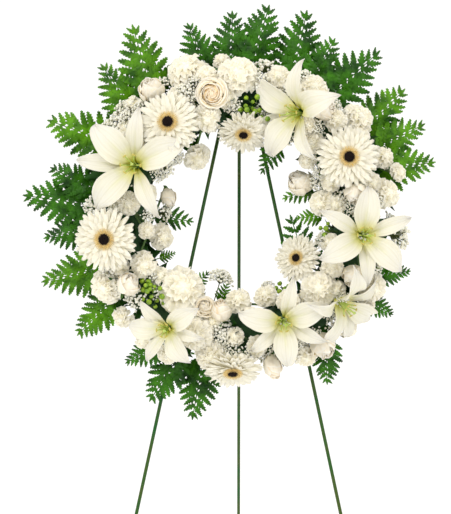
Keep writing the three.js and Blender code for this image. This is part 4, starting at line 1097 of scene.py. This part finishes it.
# Rings of the golden collar from the inside out: distance from the axis, lean in radians and size.
COLLAR_RINGS = [(0.16, 0.4, 0.75), (0.19, 0.8, 0.95), (0.215, 1.15, 1.1)]
GOLDEN_ANGLE = math.radians(137.5)
eye_black = coat("gerbera eye", [(0.006, 0.003, 0.002), (0.03, 0.012, 0.006)], 500, 0.0003, 0.7)
eye_gold = coat("golden eye collar", [(0.68, 0.47, 0.14), (0.9, 0.74, 0.38)], 300, 0.0003, 0.8)


def disc_floret(radius, length, finish):
    """A tiny six-sided spike about +Z."""
    bpy.ops.object.select_all(action="DESELECT")
    bpy.ops.mesh.primitive_cone_add(vertices=6, radius1=radius, radius2=radius * 0.35, depth=length,
                                    location=(0, 0, length / 2))
    made = bpy.context.object
    bpy.ops.object.transform_apply()
    made.data.materials.append(finish)
    return made


black_floret = disc_floret(*BLACK_FLORET, eye_black)
gold_floret = disc_floret(*GOLD_FLORET, eye_gold)
parts = []
for i in range(EYE_FLORETS):
    out = EYE_RIM * math.sqrt((i + 0.5) / EYE_FLORETS)
    turn = GOLDEN_ANGLE * i
    parts.append(copied(black_floret, Matrix.Rotation(turn, 4, "Z") @
                        Matrix.Translation((out, 0, 0.035 - 0.9 * out * out)) @
                        Matrix.Rotation(2.2 * out, 4, "Y")))
for row, (out, lean_out, size) in enumerate(COLLAR_RINGS):
    for i in range(COLLAR_FLORETS):
        turn = 2 * math.pi * (i + row / 2) / COLLAR_FLORETS + ray_chance.uniform(-0.04, 0.04)
        parts.append(copied(gold_floret, Matrix.Rotation(turn, 4, "Z") @ Matrix.Translation((out, 0, 0.01)) @
                            Matrix.Rotation(lean_out, 4, "Y") @ Matrix.Scale(size, 4)))
bpy.ops.mesh.primitive_uv_sphere_add(segments=24, ring_count=8, radius=EYE_RIM, location=(0, 0, 0))
cushion = bpy.context.object
cushion.scale = EYE_CUSHION
bpy.ops.object.transform_apply()
cushion.data.materials.append(eye_black)
eye_shape = joined([cushion] + parts)
for name, (x, z, radius, toward, tilt, reach) in GERBERAS.items():
    eye = copied(eye_shape, planted(stand_at(x, z, reach), facing(toward, tilt), radius / 1000) @
                 Matrix.Translation((0, 0, EYE_LIFT)))
    settled(eye, name.replace("gerbera", "floret_eye"), "stand", None, [name + "_eye"], 60)
away([black_floret, gold_floret, eye_shape])

# Roses in warm cream, three of them peach at heart. Some are half open, with broad outer petals rolled
# at the rim, and those seen from the side are still shut. Each sits on a green hip with five sepals.
ROSE_REACH = 76
ROSE_DROP = 1.3
ROSE_HIP = (-1.0, 0.24, 0.4)
OPEN_HEART = (0.74, 0.42)
SHUT_HEART = (0.62, 0.54)
ROSE_SEPAL_SLIM = 0.34
ROSE_SEPAL_THICKNESS = 0.03
ROSE_SEPAL_STEP = 1.26
SHUT_TILT = 40
# Each rose: across and up from the hub, its radius, how tall it is, the clock angle it leans to and by
# how many degrees.
ROSES = {
    "roses_top_left": [(-146, 213, 21, 1, 110, 50), (-45, 204, 23, 0.8, 200, 10)],
    "rose_top_right": [(139, 181, 20, 1, 20, 46)],
    "roses_right": [(190, 40, 18, 1, 268, 56), (102, 60, 22, 1, 130, 58), (189, -96, 20, 1, 240, 48)],
    "roses_left": [(-181, -108, 19, 1, 50, 52), (-118, 34, 13, 1.3, 285, 66)],
    "roses_low": [(-30, -152, 17, 1.2, 95, 58), (-56, -146, 15, 1, 110, 20), (56, -246, 16, 1.4, 285, 66)],
    "rose_low_right": [(140, -212, 21, 1.1, 290, 50)],
}
PEACH_ROSES = {(-45, 204), (-30, -152), (56, -246)}
ROSE_LOW, ROSE_TALL = -1.05, 1.85
# A petal's distance from the axis at equal steps up the rose: flared, standing, and closing over the
# heart.
FLARED = [(0.08,), (0.6,), (0.86,), (0.98,), (1.1,), (1.2,), (1.25,)]
STANDING = [(0.08,), (0.64,), (0.9,), (0.99,), (0.98,), (0.9,), (0.82,)]
CLOSING = [(0.08,), (0.64,), (0.9,), (0.98,), (0.92,), (0.74,), (0.48,)]
# Whorls from the outside in: petals, side, size, half wrap in degrees, top and how far the rim rolls
# out.
OPEN_WHORLS = [(5, FLARED, 1.0, 50, 0.1, 0.14), (4, STANDING, 0.86, 62, 0.3, 0.2),
               (4, CLOSING, 0.8, 60, 0.46, 0.1), (3, CLOSING, 0.62, 72, 0.52, 0.05),
               (3, CLOSING, 0.42, 80, 0.56, 0.02), (2, CLOSING, 0.22, 120, 0.58, 0)]
SHUT_WHORLS = [(3, CLOSING, 1.0, 66, 0.4, 0.16), (3, CLOSING, 0.96, 66, 0.74, 0.12),
               (3, CLOSING, 0.86, 74, 0.92, 0.05), (3, CLOSING, 0.66, 84, 0.98, 0.02),
               (2, CLOSING, 0.38, 120, 1.0, 0)]
ROSE_THICKNESS = 0.024
rose_chance = random.Random(17)
BLUSH_TINT = (0.985, 0.96, 0.92)
# Both rose ramps run darker and yellower towards the petal's heart and turn paler at its rim: partly the
# petals' own colour, partly painted shade in the depth of the whorls and a painted highlight along each rim.
blush = petal_skin("blush rose petal", [(0.0, (0.9, 0.86, 0.52)), (0.3, (0.985, 0.895, 0.7)),
                                        (0.86, (0.985, 0.9, 0.715)), (1.0, (0.99, 0.95, 0.85))],
                   6, 0.5, BLUSH_TINT, **DENSE_PETAL)
peach = petal_skin("peach rose petal", [(0.0, (0.97, 0.7, 0.36)), (0.4, (0.985, 0.77, 0.48)),
                                        (0.86, (0.985, 0.8, 0.53)), (1.0, (0.99, 0.92, 0.77))],
                   6, 0.5, BLUSH_TINT, **DENSE_PETAL)


def rose_petal(side, scale, wrap, top, roll):
    """A petal wrapped round the axis along a side line, its rim rolled out and one edge over the next."""
    def shape(u, v):
        share = v * (top - ROSE_LOW) / ROSE_TALL
        out, up = along(side, share)[0], ROSE_LOW + ROSE_TALL * share
        angle = u * math.radians(wrap) * (0.3 + 0.7 * min(1, v * 1.8))
        rim = max(0, v - 0.7) / 0.3
        out *= scale if v > 0.1 else scale ** 0.5
        out = out + roll * rim ** 2 * (1 - 0.3 * u * u) + 0.095 * u
        up -= 0.26 * u * u * v ** 2 + 0.6 * roll * rim ** 2 * abs(u)
        out += 0.018 * math.sin(7 * u + 5 * v) * v
        return Vector((out * math.cos(angle), out * math.sin(angle), up))
    return sheet(8, 8, ROSE_THICKNESS, shape)


def rose_head(outer_finish, inner_finish, shut):
    """A rose of radius 1 about +Z, open or shut, with its sepals and hip."""
    parts = []
    whorls = SHUT_WHORLS if shut else OPEN_WHORLS
    for row, (count, side, scale, wrap, top, roll) in enumerate(whorls):
        shape = rose_petal(side, scale, wrap, top, roll)
        shape.data.materials.append(outer_finish if row < len(whorls) // 2 else inner_finish)
        first = rose_chance.uniform(*ANY_TURN)
        for i in range(count):
            turn = first + (i + rose_chance.uniform(-0.1, 0.1)) * 2 * math.pi / count
            parts.append(copied(shape, Matrix.Rotation(turn, 4, "Z") @
                                Matrix.Rotation(rose_chance.uniform(-0.05, 0.05), 4, "Y") @
                                Matrix.Scale(rose_chance.uniform(0.97, 1.02), 4)))
        away([shape])
    sepal = leaflet(8, ROSE_SEPAL_SLIM)
    shaped(sepal, "SOLIDIFY", thickness=ROSE_SEPAL_THICKNESS, offset=0)
    sepal.data.materials.append(stem_green)
    for k in range(5):
        turn = (Matrix.Rotation(ROSE_SEPAL_STEP * k + 0.3, 4, "Z") @
                Matrix.Rotation(-0.35 + 0.5 * (k % 2), 4, "Y"))
        parts.append(copied(sepal, Matrix.Translation((0, 0, -1)) @ turn @ Matrix.Scale(0.95, 4)))
    away([sepal])
    parts.append(heart(*(SHUT_HEART if shut else OPEN_HEART), inner_finish))
    parts.append(calyx(*ROSE_HIP))
    return joined(parts)


rose_heads = {(tint, shut): rose_head(blush, inner, shut)
              for tint, inner in (("blush", blush), ("peach", peach)) for shut in (False, True)}
for name, heads in ROSES.items():
    pieces, feet = [], []
    for x, z, radius, tall, toward, tilt in heads:
        place, look = stand_at(x, z, ROSE_REACH), facing(toward, tilt)
        shape = rose_heads["peach" if (x, z) in PEACH_ROSES else "blush", tilt > SHUT_TILT]
        spin = rose_chance.uniform(*ANY_TURN)
        pieces.append(copied(shape, planted(place, look, radius / 1000, spin, tall)))
        feet.append(place - look * (ROSE_DROP * radius * tall / 1000))
    whole = joined(pieces + stems_of(name, feet))
    settled(whole, name.replace("rose", "cream_rose"), "stand", None, [name], 60)
away(rose_heads.values())

# Lime-green button buds on short branching twigs, tucked between the blooms. Each bud is round and
# ribbed, with a dimple on top.
BUD_RADIUS = 0.0044
BUD_REACH = 66
BUD_DEPTHS = (-0.012, 0.004)
BUD_SIZES = (0.75, 1.1)
TWIG_RADIUS = 0.0016
TWIGLET_RADIUS = 0.0007
# Each spray: across and up from the hub, its spread in millimetres, and how many buds it has.
BUDS = {
    "buds_top": [(26, 180, 27, 15), (15, 172, 16, 6)],
    "buds_left": [(-140, -130, 22, 12), (-150, -112, 13, 6)],
}
MORE_BUDS = [(70, -113, 14, 7), (140, -19, 12, 5), (137, 70, 12, 5), (232, -72, 12, 5)]
bud_chance = random.Random(31)
bud_lime = coat("lime bud", [(0.08, 0.2, 0.006), (0.38, 0.56, 0.03)], 160, 0.0004, 0.4)


def bud_shape():
    """A ribbed bud of radius 1 with a dimple on top."""
    bpy.ops.object.select_all(action="DESELECT")
    bpy.ops.mesh.primitive_uv_sphere_add(segments=16, ring_count=8, radius=1)
    bud = bpy.context.object
    for corner in bud.data.vertices:
        turn = math.atan2(corner.co.y, corner.co.x)
        corner.co.xy *= 1 + 0.07 * math.cos(8 * turn)
        corner.co.z -= 0.35 * math.exp(-corner.co.xy.length_squared * 7) * (corner.co.z > 0)
    bud.data.shade_smooth()
    bud.data.materials.append(bud_lime)
    return bud


def bud_spray(x, z, spread, count):
    """Buds round [x, z] on twigs that fork above the foam, all sizes in millimetres."""
    tip = stand_at(x, z, BUD_REACH)
    fork = stem_end(tip, -12)
    ahead = (tip - fork).normalized()
    side = ahead.cross(Vector((0, 1, 0.3))).normalized()
    over = ahead.cross(side)
    parts = [wire([wreath @ stem_end(tip, 14), wreath @ fork], TWIG_RADIUS, 0.001, 8)]
    for i in range(count):
        turn = GOLDEN_ANGLE * i
        out = spread / 1000 * math.sqrt((i + 0.4) / count)
        head = tip + (side * math.cos(turn) + over * math.sin(turn)) * out
        head += ahead * bud_chance.uniform(*BUD_DEPTHS)
        twig = [wreath @ fork, wreath @ head.lerp(fork, 0.4), wreath @ head]
        parts.append(wire(twig, TWIGLET_RADIUS, 0.004, 8))
        size = BUD_RADIUS * bud_chance.uniform(*BUD_SIZES)
        parts.append(copied(bud, planted(head, (head - fork).normalized(), size)))
    for part in parts:
        if not part.data.materials:
            part.data.materials.append(stem_green)
    return parts


bud = bud_shape()
for name, sprays in BUDS.items():
    parts = [part for spray in sprays for part in bud_spray(*spray)]
    settled(joined(parts), name.replace("buds", "lime_buds"), "stand", None, [name], 60)
parts = [part for spray in MORE_BUDS for part in bud_spray(*spray)]
settled(joined(parts), "lime_buds_between", "stand", None, (), 60)
away([bud])

# Baby's breath: clouds of tiny white double florets on hair-thin forked stems, between the blooms and
# standing out of the ring's edge.
FLORETS_PER_SPRIG = 16
SPRIGS_PER_CLOUD = 4
FLORET_SIZES = (0.1, 0.17)
SPRIG_SHARE = 0.62
SPRIG_SPLAY = 0.55
BREATH_STEM_RADIUS = 0.0009
THREAD_RADIUS = 0.016
# Clouds scattered round the ring: their number, and in millimetres their distance from the hub, their
# distance from the foam's core and their spread.
SCATTERED_CLOUDS = 30
SCATTER_RING = (150, 245)
SCATTER_REACH = (66, 82)
SCATTER_SPREAD = (20, 30)
# Each cloud: across and up from the hub, its distance from the foam's core, and its spread in
# millimetres.
BREATH = {
    "breath_top_left": [(-222, 176, 82, 40), (-208, 196, 76, 30), (-140, 238, 78, 26), (-98, 208, 74, 26)],
    "breath_top": [(48, 268, 86, 34), (42, 236, 80, 28), (116, 248, 90, 30), (113, 184, 78, 24)],
    "breath_right": [(294, -34, 82, 40), (268, -8, 74, 26), (126, -32, 78, 22), (116, 54, 78, 22)],
    "breath_inner_low": [(-24, -80, 98, 30), (-28, -200, 76, 24), (92, -240, 76, 22), (100, -212, 76, 20)],
}
MORE_BREATH = [
    (76, 128, 78, 24), (-131, 83, 80, 22), (-258, 20, 84, 28), (-108, 7, 80, 24), (-226, -86, 80, 26),
    (-174, -139, 80, 26), (153, -158, 78, 22), (-14, 186, 70, 20), (-176, 148, 76, 24), (236, -84, 80, 24),
    (-92, 176, 74, 18), (60, -206, 78, 20), (-142, -92, 74, 20), (166, 196, 76, 22), (-96, 92, 80, 20),
    (-80, 128, 78, 18), (-124, 66, 80, 18), (124, 72, 82, 18), (-104, 22, 84, 20), (-142, 4, 82, 18),
    (42, -102, 80, 18), (-66, -206, 82, 18), (186, 16, 84, 18), (70, 136, 82, 20), (-196, 176, 86, 28),
    (-238, 158, 80, 26), (-172, 190, 86, 22), (-92, 214, 86, 26), (-76, 232, 80, 20), (-112, 76, 90, 26),
    (-128, 98, 86, 20), (165, -186, 80, 22), (172, -132, 84, 18), (-10, -224, 80, 20), (-14, 240, 82, 20),
    (84, 214, 82, 22), (-204, 62, 84, 20), (232, 28, 84, 20), (128, 150, 82, 18)]
breath_chance = random.Random(41)
floret_white = coat("baby's breath floret", [(0.88, 0.86, 0.68), (0.97, 0.95, 0.88)], 400, 0.0005, 0.7,
                    **DENSE_PETAL)
thread_olive = coat("baby's breath stem", [(0.06, 0.09, 0.02), (0.14, 0.17, 0.05)], 90, 0.0002, 0.6)


def breath_floret():
    """A crumpled double floret of radius 1."""
    bpy.ops.object.select_all(action="DESELECT")
    bpy.ops.mesh.primitive_uv_sphere_add(segments=5, ring_count=3, radius=1.1)
    floret = bpy.context.object
    for corner in floret.data.vertices:
        corner.co *= breath_chance.uniform(0.7, 1.15)
        corner.co.z *= 0.8
    floret.data.materials.append(floret_white)
    return floret


def breath_sprig(floret):
    """Florets in a loose dome of radius 1, on threads that fork from the origin."""
    parts = []
    for i in range(FLORETS_PER_SPRIG):
        turn = GOLDEN_ANGLE * i + breath_chance.uniform(-0.3, 0.3)
        out = math.sqrt((i + 0.5) / FLORETS_PER_SPRIG) * breath_chance.uniform(0.85, 1.1)
        up = 1.25 - 0.5 * out + breath_chance.uniform(-0.2, 0.2)
        head = Vector((out * math.cos(turn), out * math.sin(turn), up))
        size = breath_chance.uniform(*FLORET_SIZES)
        parts.append(copied(floret, Matrix.Translation(head) @ Matrix.Scale(size, 4)))
        bend = Vector((head.x * 0.35, head.y * 0.35, 0.5))
        thread = wire([Vector((0, 0, 0)), bend, head], THREAD_RADIUS, 0, 4)
        thread.data.materials.append(thread_olive)
        parts.append(thread)
    return joined(parts)


def breath_cloud(sprigs, x, z, reach, spread):
    """Sprigs round [x, z] on a stem out of the foam, all sizes in millimetres."""
    tip = stand_at(x, z, reach)
    look = (tip - core_near(tip)).normalized()
    size = spread / 1000 * SPRIG_SHARE
    root = tip - look * spread / 1000 * 1.05
    upward = (Vector((0, 0, 1)) - look * look.z).normalized()
    stem = [wreath @ stem_end(tip, 12), wreath @ (tip - look * spread / 1000)]
    parts = [wire(stem, BREATH_STEM_RADIUS, 0.001, 8)]
    parts[0].data.materials.append(thread_olive)
    for k in range(SPRIGS_PER_CLOUD):
        turn = 2 * math.pi * (k + breath_chance.uniform(-0.2, 0.2)) / SPRIGS_PER_CLOUD
        aside = upward * math.sin(turn) + upward.cross(look) * math.cos(turn)
        lean_to = (look + aside * SPRIG_SPLAY).normalized()
        sprig = breath_chance.choice(sprigs)
        parts.append(copied(sprig, planted(root, lean_to, size, breath_chance.uniform(*ANY_TURN))))
    return parts


floret = breath_floret()
sprigs = [breath_sprig(floret) for _ in range(4)]
for name, clouds in BREATH.items():
    parts = [part for cloud in clouds for part in breath_cloud(sprigs, *cloud)]
    settled(joined(parts), name.replace("breath", "babys_breath"), "stand", None, [name], 60)
parts = [part for cloud in MORE_BREATH for part in breath_cloud(sprigs, *cloud)]
for i in range(SCATTERED_CLOUDS):
    clock = 360 * (i + breath_chance.uniform(0, 0.9)) / SCATTERED_CLOUDS
    spot = polar(clock, breath_chance.uniform(*SCATTER_RING), 0)
    reach = breath_chance.uniform(*SCATTER_REACH)
    parts += breath_cloud(sprigs, spot.x, spot.z, reach, breath_chance.uniform(*SCATTER_SPREAD))
settled(joined(parts), "babys_breath_between", "stand", None, (), 60)
away([floret] + sprigs)

# The studio: a pale floor that runs far out and glows a little, a white room round it, a large soft
# light from the upper left and a weaker one from the right. The camera looks straight at the leaning
# wreath from 3 m away.
FLOOR_SIZE = 120
FLOOR_GLOW = 0.2
ROOM_COLOUR = (1, 0.988, 0.965, 1)
ROOM_STRENGTH = 0.97
LAMP_COLOUR = (1, 0.972, 0.93)
CAMERA_DISTANCE = 3.0
LENS = 123.6
AIM_RIGHT = -0.023
AIM_UP = -0.066
bpy.ops.object.select_all(action="DESELECT")
bpy.ops.mesh.primitive_plane_add(size=FLOOR_SIZE, location=(0, 0, 0))
floor = bpy.context.object
floor.name = "studio_floor"
floor.data.materials.append(coat("studio floor", [(0.9, 0.9, 0.9), (0.91, 0.91, 0.91)], 1, 0.0, 0.9,
                                 **{"Emission Color": (1, 1, 1, 1), "Emission Strength": FLOOR_GLOW}))

room = bpy.context.scene.world or bpy.data.worlds.new("room")
bpy.context.scene.world = room
room.use_nodes = True
backdrop = room.node_tree.nodes["Background"]
backdrop.inputs["Color"].default_value = ROOM_COLOUR
backdrop.inputs["Strength"].default_value = ROOM_STRENGTH
bpy.context.scene.view_settings.view_transform = "Standard"


def soft_light(name, place, size, watts):
    """A square soft light at a place of the wreath's frame, aimed at the wreath."""
    light = bpy.data.lights.new(name, "AREA")
    light.size = size
    light.energy = watts
    light.color = LAMP_COLOUR
    lamp = bpy.data.objects.new(name, light)
    lamp.location = wreath @ place
    lamp.rotation_euler = (hub - lamp.location).to_track_quat("-Z", "Y").to_euler()
    bpy.context.collection.objects.link(lamp)


soft_light("key light", Vector((-1.6, -2.4, 2.0)), 1.2, 37)
soft_light("fill light", Vector((2.0, -2.6, 0.6)), 1.6, 16)

lens = bpy.data.cameras.new("camera")
lens.lens = LENS
lens.clip_end = 200
camera = bpy.data.objects.new("camera", lens)
bpy.context.collection.objects.link(camera)
camera.location = wreath @ Vector((0, -CAMERA_DISTANCE, 0))
aim = wreath @ Vector((AIM_RIGHT, 0, AIM_UP))
camera.rotation_euler = (aim - camera.location).to_track_quat("-Z", "Y").to_euler()
bpy.context.scene.camera = camera
